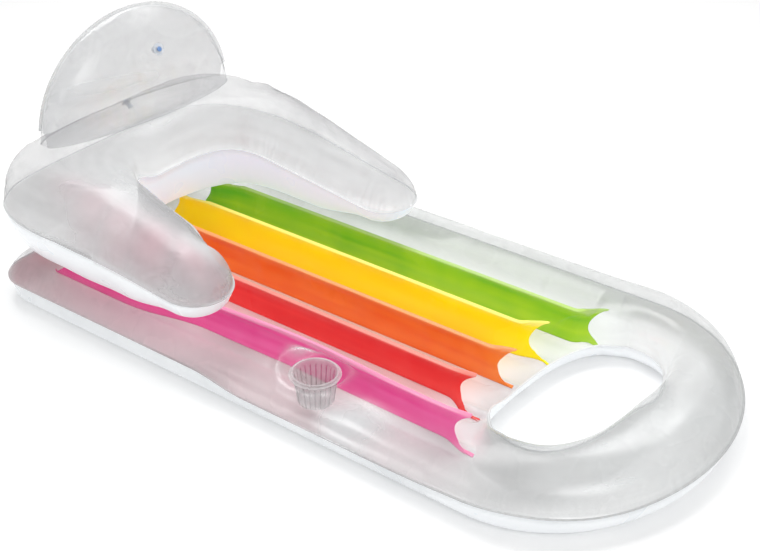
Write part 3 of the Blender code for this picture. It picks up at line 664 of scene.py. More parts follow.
def baseFilm(name, heightAt, way):
    columns = columnTable()
    front = fieldFront(columnX(columns, wellY))
    # straight rows up to the corner, then rows that follow the corner's arc
    corner = headEnd - base["cornerRadius"]
    grid = []
    for share in np.linspace(0, 1, mesh["rows"]):
        y = mix(front, corner, share)
        grid.append((columnX(columns, y).diagonal(), y))
    for turn in np.linspace(0, math.pi / 2, mesh["cornerRows"] + 1)[1:]:
        y = corner + base["cornerRadius"] * math.sin(turn)
        grid.append((columnX(columns, y), np.full(len(columns), y)))
    x, y = np.array(grid).transpose(1, 0, 2)
    seam = base["seamHeight"] + way * lift
    edge = np.zeros(x.shape, bool)
    edge[:, 0] = edge[:, -1] = edge[-1, :] = True
    field = gridPiece(name, stackPoints(x, y, np.where(edge, seam, heightAt(x, y))))

    # ring: from the field's front row and the foot curve in to the well
    startY = y[0, -1]
    start = math.asin(max(min((curveY - startY) / base["footCurve"], 1), 0)) if startY < curveY else 0
    turns = np.linspace(start, math.pi - start, mesh["footSteps"] + 1)[1:-1]
    curve = stackPoints(halfWidth * np.cos(turns), curveY - base["footCurve"] * np.sin(turns))
    loop = np.concatenate([stackPoints(x[0], y[0]), curve])
    onSeam = np.concatenate([edge[0], np.ones(len(curve), bool)])
    along, across = wellFrame(*loop.T)
    angle = np.arctan2(across, along)
    wellX, wellEdgeY = wellPoint(angle)
    share = 0.5 - 0.5 * np.cos(np.linspace(0, math.pi, mesh["rings"] + 1))
    share = (0.6 * share + 0.4 * np.linspace(0, 1, mesh["rings"] + 1))[:, None]
    ringX, ringY = mix(loop[:, 0], wellX, share), mix(loop[:, 1], wellEdgeY, share)
    ringZ = heightAt(ringX, ringY)
    ringZ[0] = np.where(onSeam, seam, ringZ[0])
    ringZ[-1] = wellLevel(wellX, wellEdgeY) + way * lift
    lipRow = stackPoints(*wellPoint(angle, base["lip"]), ringZ[-1])
    ringPoints = np.concatenate([stackPoints(ringX, ringY, ringZ), lipRow[None]])
    ring = gridPiece(name + "_ring", np.concatenate([ringPoints, ringPoints[:, :1]], axis=1))

    # flat weld lip outside the whole outline
    outline = tidyLoop(np.concatenate([
        stackPoints(x[::-1, 0], y[::-1, 0]), curve[::-1], stackPoints(x[:, -1], y[:, -1]),
        stackPoints(x[-1, ::-1], y[-1, ::-1])[1:]]))
    lip = lipPiece(name + "_lip", outline, seam, base["lip"])
    return joinPieces(name, [field, ring, lip]), np.column_stack([outline, np.full(len(outline), seam)])


def tidyLoop(outline):
    keep = [0]
    for index in range(1, len(outline)):
        if np.linalg.norm(outline[index] - outline[keep[-1]]) > 0.0001:
            keep.append(index)
    if np.linalg.norm(outline[keep[-1]] - outline[0]) < 0.0001:
        keep.pop()
    return outline[keep]


def lipPiece(name, outline, height, width):
    before, after = np.roll(outline, 1, axis=0), np.roll(outline, -1, axis=0)
    way = after - before
    out = np.column_stack([way[:, 1], -way[:, 0]])
    out /= np.linalg.norm(out, axis=1)[:, None]
    area = (before[:, 0] * outline[:, 1] - outline[:, 0] * before[:, 1]).sum()
    out *= 1 if area > 0 else -1
    height = np.broadcast_to(height, len(outline))
    rings = []
    for share in (0, 0.5, 1):
        ring = np.column_stack([outline + out * width * share, height])
        rings.append(np.vstack([ring, ring[:1]]))
    return gridPiece(name, np.array(rings))


print("making the base films")
topFilm, baseSeam = baseFilm("baseTopFilm", baseTop, 1)
bottomFilm, _ = baseFilm("baseBottomFilm", baseBottom, -1)


gathers = dict(  # spots where the base's film folds, lifts, shines or turns milky, and where painted highlights and painted shade lie: strength, middle, widths
    corners=((1.0, -0.38, 0.77, 0.16, 0.16), (0.6, 0.38, 0.77, 0.12, 0.12)),
    hump=(0.006, cupX - 0.03, cupY - 0.155, 0.05, 0.055),
    footShine=(0.9, 0.06, -0.79, 0.16, 0.08),
    outerGleam=(1.0, -0.27, -0.74, 0.13, 0.10),
    innerGleam=(0.8, -0.20, -0.70, 0.12, 0.10),
    besideWell=(1.5, -0.27, -0.52, 0.10, 0.09),
    # painted highlights beside the drink holder
    paintedGlare=((1.0, cupX - 0.066, cupY - 0.165, 0.026, 0.055), (0.9, -0.402, -0.215, 0.016, 0.050),
           (0.7, cupX + 0.045, cupY + 0.075, 0.03, 0.02)),
    padShade=(0.30, -0.02, float(fieldFront(0.0)) + 0.01, 0.28, 0.06),
    raisedWeld=((0.012, -0.385, -0.60, 0.14, 0.14), (0.009, -0.10, -0.82, 0.26, 0.12)))
throughTones = ((0.94, 0.77, 0.79), (0.84, 0.60, 0.57), (0.82, 0.56, 0.43),  # light that comes through the webs
                (0.80, 0.64, 0.44), (0.76, 0.77, 0.66), (0.96, 0.97, 0.95))


def dressBaseTop(piece):
    points, normals = readPoints(piece), pointNormals(piece)
    normals *= np.where(normals[:, 2] < 0, -1, 1)[:, None]
    x, y = points[:, 0], points[:, 1]
    along, away = seamPlaces(points, baseSeam)
    marks = puckers(along, away, 0.010, 0.010, 3) * (0.45 + 0.55 * smoothStep(-y, 0.35, 0.6))
    folds = puckers(along, away, 0.016, 0.040, 8) * blobs(x, y, *gathers["corners"])
    push = marks * 0.0011 + folds * 0.0030
    # slow waves of the foot ring and the side tubes
    push += 0.0016 * softNoise(x, y, 0.11, 21) * smoothStep(away, 0.01, 0.06)
    # the film gathers in arcs round the drink holder and stands up in a soft hump on its foot side
    radius = np.hypot(x - cupX, y - cupY)
    bearing = np.arctan2(y - cupY, x - cupX)
    arcs = bell(radius, 0.078, 0.007) - 0.6 * bell(radius, 0.093, 0.009)
    push += 0.0046 * arcs * (0.45 + 0.55 * np.cos(bearing - 0.9))
    push += 0.0020 * bell(radius, 0.07, 0.03) * evenNoise(bearing, 0.12, 31)
    push += blobs(x, y, gathers["hump"])
    push *= 1 - 0.85 * pressedShare(x, y) * (np.abs(x) < 0.42) * smoothStep(away, 0.03, 0.06)
    push[(away < 0.0002) | (points[:, 2] < base["seamHeight"] + 0.001)] = 0
    push *= smoothStep(wellDistance(x, y), 0.0005, 0.012)
    writePoints(piece, points + normals * push[:, None])
    # the film is clearest over the webs, and a web is seen through the film on this side of it
    ahead = fieldFront(x) - 0.10
    inField = smoothStep(y, ahead, ahead + 0.05) * (1 - smoothStep(y, fieldRear, fieldRear + 0.04))
    inField *= smoothStep(ribEdges[-1] + 0.03 - x, 0, 0.05) * smoothStep(x - ribEdges[0] + 0.155, 0, 0.05)
    streak = softNoise(away, along * 0.12, 0.014, 77)
    veilAndSheen = mix(1.0, 0.05, inField) * (1 + 0.12 * streak * smoothStep(away, 0.008, 0.03))
    # painted highlights: two bright bands along the foot ring
    gleam = bell(away, 0.060, 0.015) * blobs(x, y, gathers["outerGleam"])
    gleam += bell(away, 0.130, 0.018) * blobs(x, y, gathers["innerGleam"])
    # milkier down the near side of the well, and whiter where the film is pulled round the drink holder; painted
    # highlights beside the drink holder and on the foot ring
    wellEdge = np.clip(wellDistance(x, y), 0, None)
    gather, paintedGlare = bell(radius, 0.075, 0.012), blobs(x, y, *gathers["paintedGlare"])
    veilAndSheen += blobs(x, y, gathers["footShine"]) + 1.2 * gleam
    veilAndSheen += bell(wellEdge, 0, 0.05) * blobs(x, y, gathers["besideWell"])
    veilAndSheen += 0.5 * gather + 3.6 * paintedGlare + 0.2 * np.exp(-away / 0.004) + 0.9 * marks + 1.2 * folds
    setAttribute(piece, "veilAndSheen", np.clip(veilAndSheen, 0.03, 5))
    setWeldAndSheen(piece, 0.6 * bell(away, 0, 0.005) + 0.85 * bell(wellEdge, 0, 0.016) + 0.6 * gather
            + 0.5 * np.clip(marks + folds, 0, 1) + 1.6 * paintedGlare + 0.7 * gleam)


def dressBaseBottom(piece):
    x, y = readPoints(piece)[:, :2].T
    tones = np.array(throughTones)
    spots = [ribX["pink"] - 0.02] + [ribX[name] for name in ribs["names"][1:]] + [ribX["green"] + 0.05]
    colours = np.stack([np.interp(x, spots, tones[:, band]) for band in range(3)], axis=-1)
    along = mix(0.30, 1.0, smoothStep(y, -0.24, -0.04)) * smoothStep(y, -0.52, -0.32)
    ahead = fieldFront(x)
    behind = smoothStep(y, ahead + 0.02, ahead + 0.16)
    amount = np.where(x < ribX["pink"], along, behind * fieldShare(x, y))[:, None]
    # the near tube lies in shade, and every tube darkens towards its weld
    besideWeb = smoothStep(ribX["pink"] + 0.02 - x, 0, 0.02)
    shade = 0.24 * smoothStep(y, -0.16, -0.04) * (1 - smoothStep(y, 0.16, 0.36)) * besideWeb
    shade += 0.22 * smoothStep(-x, 0.16, 0.26) * smoothStep(y, -0.62, -0.50) * (1 - smoothStep(y, -0.20, -0.12))
    shade += 0.22 * bell(np.clip(outerDistance(x, y), 0, None), 0, 0.03)
    # painted shade on the white film over the pads in front of the webs
    light = (1 - blobs(x, y, gathers["padShade"])) * (1 - shade)
    setTint(piece, mix(1.0, colours, amount) * light[:, None])


def liftWeld(piece):
    # the outer weld stands higher along the near side and at the near end of the foot
    points = readPoints(piece)
    x, y = points[:, :2].T
    _, away = seamPlaces(points, baseSeam)
    rise = 0.017 * smoothStep(y, 0.02, 0.16) * smoothStep(-x, 0.1, 0.3) + blobs(x, y, *gathers["raisedWeld"])
    points[:, 2] += rise * bell(away, 0, 0.024)
    writePoints(piece, points)


for piece, up, dress in ((topFilm, 1, dressBaseTop), (bottomFilm, -1, dressBaseBottom)):
    faceOut(piece, (0, 0, up))
    dress(piece)
    liftWeld(piece)


# valves: where each one sits is read from its ring in the frame

def ringPlace(owner):
    points = readPoints(nodes[owner + "_valve_ring"])
    middle = points.mean(axis=0)
    _, _, axes = np.linalg.svd(points - middle, full_matrices=False)
    axis = axes[2]
    stem = readPoints(nodes[owner + "_valve_plug"]).mean(axis=0)
    if (stem - middle) @ axis < 0:
        axis = -axis
    height = (points - middle) @ axis
    radius = np.linalg.norm((points - middle) - np.outer(height, axis), axis=1)
    foot = height[radius > radius.max() * 0.98].min()
    return middle + axis * (foot - film["gap"]), axis


valves = {owner: ringPlace(owner) for owner in ("base", "backrest", "pillow")}
valveCut = dict(hole=0.0080, pad=0.0165, blend=0.032)

openHole(topFilm, (cupX, cupY, cup["seat"]), (0, 0, 1), cup["throat"] + 0.0006, cup["pad"], 0.078)
openHole(topFilm, *valves["base"], valveCut["hole"], valveCut["pad"], valveCut["blend"])
finishFilm(topFilm, baseClear)
finishFilm(bottomFilm, whiteOuter, whiteInner)
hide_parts("base_top_film")
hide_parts("base_bottom_film")


# ribs: coloured webs, welded by a bent lip to both films

webs = {  # front and rear: how far the tips lean aside, top and bottom; lean is that of the lower edge
    "pink": dict(front=(0.004, -0.012), rear=(0.0, -0.024), rearReach=0.078, frontReach=0.020, lean=0.0),
    "red": dict(front=(0.006, -0.022), rear=(0.004, 0.0), rearReach=0.045, frontReach=0.030, lean=0.001),
    "orange": dict(front=(0.014, 0.0), rear=(-0.008, -0.004), rearReach=0.045, frontReach=0.010, lean=-0.007),
    "yellow": dict(front=(0.030, 0.008), rear=(-0.018, -0.008), rearReach=0.045, frontReach=0.025, lean=-0.010),
    "green": dict(front=(0.036, 0.024), rear=(-0.034, -0.012), rearReach=0.040, frontReach=0.012, lean=-0.009)}


def makeRib(name, seed):
    web, index = webs[name], ribs["names"].index(name)
    front = float(fieldFront(ribX[name])) + ribs["frontBack"][index]
    rear = fieldRear - ribs["rearBack"][index]
    inner = film["thick"] + film["gap"]
    top, bottom = base["ribTop"] - inner, base["ribBottom"] + inner
    # the section is a bent lip, the web from top to bottom, and a second lip
    lip = [share * ribs["lip"] / 2 for share in (1, 0.4, -0.3)]
    across = np.array(lip + [-ribs["lip"] / 2] * ribs["steps"] + lip[::-1])[:, None]
    h = np.concatenate([[1.0] * 3, np.linspace(1, 0, ribs["steps"]), [0.0] * 3])[:, None]
    t = np.concatenate([np.linspace(0, 0.1, 36), np.linspace(0.1, 0.9, 190)[1:], np.linspace(0.9, 1, 30)[1:]])
    belly = 4 * h * (1 - h)
    dent = ribs["hollow"] * belly ** 0.75
    y = mix(front + dent * 1.25 - web["frontReach"] * (1 - h) ** 3,
            rear + web["rearReach"] * (1 - h) ** 1.5 - dent * 0.35, t)
    z = mix(bottom, top, h)
    near = 1 - smoothStep(y - front, 0.0, 0.075)
    far = smoothStep(y, rear - 0.10, rear + 0.02)
    if name == "pink":
        far = mix(smoothStep(y, 0.28, 0.55), far, h)
    lean = mix(web["lean"], 0.003, h) + near ** 1.6 * mix(web["front"][1], web["front"][0], h ** 1.5)
    x = ribX[name] + across + lean + far * mix(web["rear"][1], web["rear"][0], h)
    # the web bows and ripples a little between its two welds
    x = x + belly * (0.0035 * evenNoise(y, 0.09, seed) + 0.0015 * evenNoise(y, 0.03, seed + 1))
    ends = np.exp(-(y - front) / 0.035) + 0.7 * np.exp(-(rear - y) / 0.03)
    x = x + belly * ends * 0.003 * evenNoise(y + 0.25 * z, 0.008, seed + 2)
    if name == "pink":
        # the drink holder pushes the web aside
        x = x + mix(0.004, 0.012, h) * bell(y, cupY + 0.10, 0.17)
    # the edges stay on the films, which rise and fall beside the weld lines
    high = np.minimum(baseTop(x, np.minimum(y, rear)), base["ribTop"] + 0.006) - inner
    low = np.minimum(baseBottom(x, np.minimum(y, rear)) + inner, bottom)
    z = np.where(h > 0.5, z + (high - top) * (2 * h - 1), z + (low - bottom) * (1 - 2 * h))
    piece = gridPiece(name + "Rib", stackPoints(x, y, z))
    editMesh(piece, makeConsistent)
    faceOut(piece, (-1, 0, 0))
    _, y, z = readPoints(piece).T
    rise = (z - bottom) / (top - bottom)
    # painted light and shade on the web: lighter low down, at the top edge and at the front end, darker higher up and
    # at the rear end, with random streaks
    shade = 0.62 - 0.30 * smoothStep(rise, 0.2, 0.9) + 0.55 * np.exp(-(1 - rise) / 0.04)
    shade += 0.22 * softNoise(y * 0.06, z, 0.010, seed + 3)
    shade += 0.35 * np.exp(-(y - front) / 0.06) - 0.2 * np.exp(-(rear - y) / 0.2)
    setAttribute(piece, "shade", np.clip(shade, 0, 1))
    lipShare = 0.85 if name in ("pink", "red") else 0.55
    setAttribute(piece, "pale", lipShare * smoothStep(rise, 0.95, 0.995))
    finishFilm(piece, ribMaterials[name])
    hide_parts(name + "_rib")


print("making the ribs")
for number, ribName in enumerate(ribs["names"]):
    makeRib(ribName, 50 + 7 * number)


# back rest: a horseshoe tube of two films

def arcPoint(angle, halfX, halfY, power, middleX):
    way = np.array([math.cos(angle), math.sin(angle)])
    reach = (abs(way[0] / halfX) ** power + abs(way[1] / halfY) ** power) ** (-1 / power)
    return np.array([middleX, arcY]) + way * reach


def armStations(side, tipSteps=22, straightSteps=44):
    # from the tip to the root: inner point, outer point, and how far the tube has opened
    arm, radius = ("near" if side < 0 else "far"), rest["tipRadius"]
    length, spread = rest[arm + "Arm"], rest[arm + "Spread"]
    tipY, straight = arcY - length, length - radius
    rootOuter = rest["halfWidth"] + side * rest["offsetX"]
    rootHalf, rootMiddle = (rootOuter - rest["innerHalf"]) / 2, (rootOuter + rest["innerHalf"]) / 2
    stations = [(tipY + radius * (1 - math.cos(turn)), math.sin(turn))
                for turn in np.linspace(math.radians(3), math.pi / 2, tipSteps)]
    stations += [(tipY + radius + straight * share, 1.0) for share in np.linspace(0, 1, straightSteps + 1)[1:-1]]
    made = []
    for y, tip in stations:
        share = max((y - tipY - radius) / straight, 0)
        middle, half = mix(spread, rootMiddle, share), mix(radius, rootHalf, share) * tip
        made.append((np.array([side * (middle - half), y]), np.array([side * (middle + half), y]), tip))
    return made


def restStations():
    arc = [(arcPoint(angle, rest["innerHalf"], rest["innerLength"], rest["innerPower"], 0),
            arcPoint(angle, rest["halfWidth"], rest["outerLength"], rest["outerPower"], rest["offsetX"]), 1.0)
           for angle in np.linspace(math.pi, 0, 150)]
    return armStations(-1) + arc + armStations(1)[::-1]


def armShare(y):
    tipY = arcY - (rest["nearArm"] + rest["farArm"]) / 2
    return clampShare((y - tipY) / rest["ramp"])


def restSeam(y):
    return mix(rest["armSeam"], rest["rearSeam"], armShare(y))


def seamDrop(x, y, outside):
    # the outer weld hangs lower along the near arm
    return outside * blobs(x, y, (rest["nearDrop"], -0.40, 0.60, 0.13, 0.17))


def seamRise(x, y, outside):
    # the inner weld stands higher along the near arm
    rear = (1 - smoothStep(y, 0.52, 0.66)) * smoothStep(-x, 0.04, 0.14)
    return rest["nearRise"] * smoothStep(y, 0.24, 0.34) * rear * (1 - outside)


def restCrest(y):
    return mix(rest["armCrest"], rest["rearCrest"], armShare(y))


def restFilm(name, way, columns=56):
    inner, outer, tip = (np.array(part) for part in zip(*restStations()))
    tip = tip[:, None]
    even = np.linspace(0, 1, columns + 1)
    share = (0.75 * (0.5 - 0.5 * np.cos(even * math.pi)) + 0.25 * even)[None, :]
    width = np.linalg.norm(outer - inner, axis=1)[:, None]
    x = mix(inner[:, :1], outer[:, :1], share)
    y = mix(inner[:, 1:], outer[:, 1:], share)
    outside = smoothStep(share, 0.35, 1.0)
    seam = restSeam(y) - seamDrop(x, y, outside) + seamRise(x, y, smoothStep(share, 0.0, 0.5))
    corner = outside * blobs(x, y, (rest["cornerPush"], *rearCorner))
    farSide = 0.010 * smoothStep(x, 0.05, 0.25) * outside * tip
    x, y = x - 0.594 * corner - farSide, y + 0.805 * corner
    edge = np.minimum(share, 1 - share)
    swell = roundUp(edge * width / np.minimum(rest["roundOver"], width / 2)) * tip
    if way > 0:
        z = seam + lift + (restCrest(y) - seam) * swell
        # the tube is a little fuller than its seams, most at the near rear corner
        sideways = np.where(share < 0.5, -1.0, 1.0) * np.sin(2 * np.pi * edge) * swell * tip
        out = (outer - inner) / np.maximum(width, 1e-6)
        fuller = 0.004 * (1 - smoothStep(x, 0.0, 0.2)) + blobs(x, y, (0.008, *rearCorner)) * (share > 0.5)
        x, y = x + out[:, :1] * sideways * fuller, y + out[:, 1:] * sideways * fuller
        z = np.minimum(z, rest["pillowSeat"])
    else:
        # the arm tips lift a little off the base
        tipY = np.where(x < 0, arcY - rest["nearArm"], arcY - rest["farArm"])
        seat = rest["seat"] + film["gap"] + rest["tipLift"] * (1 - smoothStep(y - tipY, 0.10, 0.26))
        z = np.maximum(seam - lift - (seam - seat) / rest["belly"] * swell, seat)
    z[:, [0, -1]] = seam[:, [0, -1]] + way * lift
    body = gridPiece(name, stackPoints(x, y, z))
    flat = stackPoints(x, y)
    outline = tidyLoop(np.concatenate([flat[:, 0], flat[-1, 1:-1], flat[::-1, -1], flat[0, -2:0:-1]]))
    x, y = outline.T
    rim = (np.hypot(x, y - arcY) > rest["innerHalf"] + 0.05) & (np.abs(x) > 0.30)
    level = restSeam(y) - seamDrop(x, y, rim) + way * lift + seamRise(x, y, x < -0.30)
    lip = lipPiece(name + "_lip", outline, level, rest["lip"])
    piece = joinPieces(name, [body, lip])
    faceOut(piece, (0, 0, way))
    return piece, np.column_stack([outline, level])


rearCorner = (-0.37, 0.74, 0.14, 0.17)  # the near one: its middle and widths
restSpots = dict(  # strength, middle and widths
    tips=((1, -0.31, 0.19, 0.12, 0.09), (1, 0.27, 0.12, 0.12, 0.09)),
    bends=((1, -0.19, 0.47, 0.10, 0.12), (1, 0.19, 0.47, 0.10, 0.12)),
    pinkWebLight=[(strength, x, y, 0.040, 0.070) for strength, x, y in (
        (0.35, -0.345, 0.55), (0.6, -0.352, 0.48), (0.75, -0.358, 0.40),
        (0.9, -0.350, 0.31), (0.8, -0.328, 0.22), (0.6, -0.31, 0.17))],
    paintedLight=((1, 0.02, 0.645, 0.13, 0.018), (1.3, -0.281, 0.235, 0.024, 0.036)),
    pinkWebLightWall=(1, -0.20, 0.125, 0.05, 0.035),
    underPillow=(0.8, pillow["x"], headEnd - pillow["fromHead"], 0.26, 0.06))


def dressRest(piece, seamLine, way):
    points, normals = readPoints(piece), pointNormals(piece)
    x, y, z = points.T
    along, away = seamPlaces(points, seamLine)
    tips = blobs(x, y, *restSpots["tips"])
    marks = puckers(along, away, 0.011, 0.012, 12)
    folds = puckers(along, away, 0.015, 0.026, 17) * (tips + 0.55 * blobs(x, y, *restSpots["bends"]))
    push = marks * 0.0006 + folds * 0.0030
    push += 0.0016 * softNoise(x, y, 0.10, 25) * smoothStep(away, 0.01, 0.05)
    onLip = (away < rest["lip"] + 0.001) & (np.abs(normals[:, 2]) > 0.99)
    push[(away < 0.0003) | onLip | ((way < 0) & (z < rest["seat"] + 0.002))] = 0
    points = points + normals * push[:, None]
    if way > 0:
        points[:, 2] = np.minimum(points[:, 2], rest["pillowSeat"])
    else:
        points[:, 2] = np.maximum(points[:, 2], rest["seat"] + film["gap"])
    # scalloped seam at the arm tips, the same for both films
    points[:, 2] += 0.0018 * np.abs(evenNoise(along, 0.011, 44)) * tips * np.exp(-away / 0.012)
    writePoints(piece, points)
    # the near side lies in its own soft shade
    shade = 0.14 * smoothStep(-x, 0.08, 0.20) * (1 - 0.6 * smoothStep(y, 0.56, 0.80))
    inside = smoothStep(-x, 0.08, 0.15) * (1 - smoothStep(-x, 0.24, 0.29)) * (1 - smoothStep(y, 0.52, 0.64))
    shade += 0.16 * inside * smoothStep(z, 0.13, 0.19)
    # painted pink light from the pink web along the near arm
    pinkWebLight = np.max([blobs(x, y, spot) for spot in restSpots["pinkWebLight"]], axis=0)
    setAttribute(piece, "pinkWebLight", pinkWebLight)
    # painted pink light from the pink web on the inner wall, with the painted shade of the near side
    wallPinkWebLight = blobs(x, z, restSpots["pinkWebLightWall"]) * smoothStep(y, 0.18, 0.30) * (1 - smoothStep(y, 0.52, 0.64))
    wallPinkWebLight = np.maximum(wallPinkWebLight, 0.8 * pinkWebLight)[:, None]
    setTint(piece, (1 - shade)[:, None] * mix(1.0, np.array([0.96, 0.72, 0.77]), wallPinkWebLight))
    streak = softNoise(away, along * 0.12, 0.016, 83)
    size = np.hypot(x / 0.285, np.clip(y - arcY, 0, None) / 0.264)
    farSide = smoothStep(size, 1.0, 1.15) * smoothStep(x, 0, 0.15) * (1 - smoothStep(y, 0.48, 0.66))
    nearSide = smoothStep(-x, 0.10, 0.20) * (1 - smoothStep(y, 0.50, 0.72))
    # painted highlights: soft streaks of light along the top of the tube, and one spot on the near tip
    gleam = blobs(x, y, *restSpots["paintedLight"]) + 0.8 * bell(x, 0.02, 0.16) * bell(y, 0.50 + 0.9 * x * x, 0.022)
    veilAndSheen = (1 + 0.25 * streak) * (1 + 1.6 * pinkWebLight) + 0.4 * np.exp(-away / 0.005) + 0.5 * marks + 1.4 * folds
    veilAndSheen += farSide + 1.2 * nearSide + 1.6 * gleam - blobs(x, y, restSpots["underPillow"])
    setAttribute(piece, "veilAndSheen", np.clip(veilAndSheen, 0.2, 3))
    seam = 0.9 * bell(away, 0, 0.006) + 0.5 * np.clip(marks + folds, 0, 1) + 0.30 * nearSide
    setWeldAndSheen(piece, seam + gleam)
    if way < 0:
        # the side towards the seat is lit through the film
        setAttribute(piece, "lit", 1 - smoothStep(size, 0.85, 1.05))


print("making the back rest films")
restTop, restLine = restFilm("backrestTopFilm", 1)
restBottom, restLineLow = restFilm("backrestBottomFilm", -1)


def restHeld(points):
    # the cloth is held along the weld
    tree = placeTree(restLine)
    return np.array([tree.find(Vector(spot))[2] < 0.0065 for spot in points])


inflate([restTop], restHeld, 1.2, 0.012, 0.006)
dressRest(restTop, restLine, 1)
dressRest(restBottom, restLineLow, -1)
openHole(restTop, *valves["backrest"], valveCut["hole"], valveCut["pad"], valveCut["blend"])
finishFilm(restTop, restClear)
finishFilm(restBottom, restWhite, whiteInner)
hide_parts("backrest_top_film")
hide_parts("backrest_bottom_film")


# pillow: a half-round cushion on a lens-shaped foot
pillowTurn = np.array(Matrix.Translation((pillow["x"], headEnd - pillow["fromHead"], pillow["seat"]))
                      @ Matrix.Rotation(math.radians(pillow["yaw"]), 4, "Z"))
first = math.radians(pillow["firstAngle"])
pillowAngle = np.linspace(first, math.pi - first, pillow["columns"] + 1)[:, None]


def toWorld(points):
    return points @ pillowTurn[:3, :3].T + pillowTurn[:3, 3]


def toPillow(points):
    return (points - pillowTurn[:3, 3]) @ pillowTurn[:3, :3]


def pillowFilm(name, way):
    share = np.linspace(0, 1, pillow["rows"] + 1)[None, :]
    share = 0.5 * share + 0.5 * np.sin(share * math.pi / 2)
    bottom = 2 * (film["gap"] + film["thick"])
    across, up = np.cos(pillowAngle), np.sin(pillowAngle)
    depth = mix(pillow["foot"], lift, share) + pillow["swell" if way < 0 else "backSwell"] * 4 * share * (1 - share)
    # a rounder section than a plain bow near the rim
    rounded = pillow["rimRound"] * mix(pillow["foot"], lift, 0.5) * np.sqrt(np.clip(1 - share, 0, 1))
    depth = mix(lift, np.where(share > 0.5, np.maximum(depth, rounded), depth), up)
    x = pillow["halfWidth"] * across
    footRow = stackPoints(x, way * (pillow["foot"] * up + pillow["footLip"]), bottom)
    body = stackPoints(x, way * depth, mix(bottom, pillow["height"] * up, share))
    out = stackPoints(across / pillow["halfWidth"], 0, up / pillow["height"])
    out /= np.linalg.norm(out, axis=-1, keepdims=True)
    rim = body[:, -1:]
    grid = np.concatenate([footRow, body] + [rim + out * pillow["lip"] * reach for reach in (0.33, 0.66, 1)], axis=1)
    piece = joinPieces(name, [gridPiece(name, grid)])
    faceOut(piece, (0, way, 0))
    return piece, rim[:, 0]


def dressPillow(piece, rim, way):
    points, normals = readPoints(piece), pointNormals(piece)
    along, away = seamPlaces(points, rim, False)
    x, y, z = points.T
    ridges = puckers(along, away, 0.012, 0.014, 61 + way)
    push = ridges * 0.0010
    push += 0.0016 * softNoise(x, z, 0.09, 71 + way) * smoothStep(away, 0.01, 0.05) * smoothStep(z, 0.004, 0.05)
    size = (x / pillow["halfWidth"]) ** 2 + (z / pillow["height"]) ** 2
    push[(size >= 0.999) | (z < 0.002)] = 0
    writePoints(piece, toWorld(points + normals * push[:, None]))
    flange = size >= 0.997
    marks = ridges * smoothStep(z, 0.01, 0.04)
    # painted light: a highlight band above the lens and a band of painted shade under it, both rising to the left, and
    # a highlight spot
    level = z + 0.10 * (x + 0.06)
    paintedLight = blobs(x, level, (1, -0.06, 0.118, 0.19, 0.024), (-0.5, -0.10, 0.062, 0.18, 0.020))
    paintedLight = (paintedLight + blobs(x, z, (1, -0.013, 0.160, 0.020, 0.016))) * (way < 0)
    veilAndSheen = 1.1 + 0.5 * flange + 0.5 * np.exp(-away / 0.010) + 0.5 * marks + paintedLight
    setAttribute(piece, "veilAndSheen", veilAndSheen + blobs(x, z, (0.3, -0.19, 0.09, 0.10, 0.07)))
    setWeldAndSheen(piece, 1.5 * flange + 0.6 * bell(away, 0, 0.004) + 0.4 * np.clip(marks, 0, 1) + 0.9 * paintedLight)


def pillowFoot(name):
    side = np.linspace(-1, 1, 25)[None, :]
    reach = pillow["foot"] * np.sin(pillowAngle) + pillow["footLip"]
    points = stackPoints(pillow["halfWidth"] * np.cos(pillowAngle), side * reach, film["gap"] + film["thick"])
    piece = gridPiece(name, toWorld(points))
    faceOut(piece, (0, 0, 1))
    setAttribute(piece, "veilAndSheen", np.full(len(piece.data.vertices), 0.6))
    setAttribute(piece, "seam", np.zeros(len(piece.data.vertices)))
    return piece


def pillowHeld(points):
    x, _, z = toPillow(points).T
    return ((x / pillow["halfWidth"]) ** 2 + (z / pillow["height"]) ** 2 > 0.985) | (z < 0.004)


print("making the pillow")
pillowFront, rimLine = pillowFilm("pillowFrontFilm", -1)
pillowBack, _ = pillowFilm("pillowBackFilm", 1)
for piece in (pillowFront, pillowBack):
    writePoints(piece, toWorld(readPoints(piece)))
inflate([pillowFront, pillowBack], pillowHeld, 1.2, 0.015, 0.006)
for piece in (pillowFront, pillowBack):
    writePoints(piece, toPillow(readPoints(piece)))
dressPillow(pillowFront, rimLine, -1)
dressPillow(pillowBack, rimLine, 1)
pillowBase = pillowFoot("pillowBaseFilm")
openHole(pillowFront, *valves["pillow"], valveCut["hole"], valveCut["pad"], valveCut["blend"])
for piece, node in ((pillowFront, "pillow_front_film"), (pillowBack, "pillow_back_film"),
                    (pillowBase, "pillow_base_film")):
    finishFilm(piece, pillowClear)
    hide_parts(node)


# drink holder: a circle drawn out ring by ring, then fluted

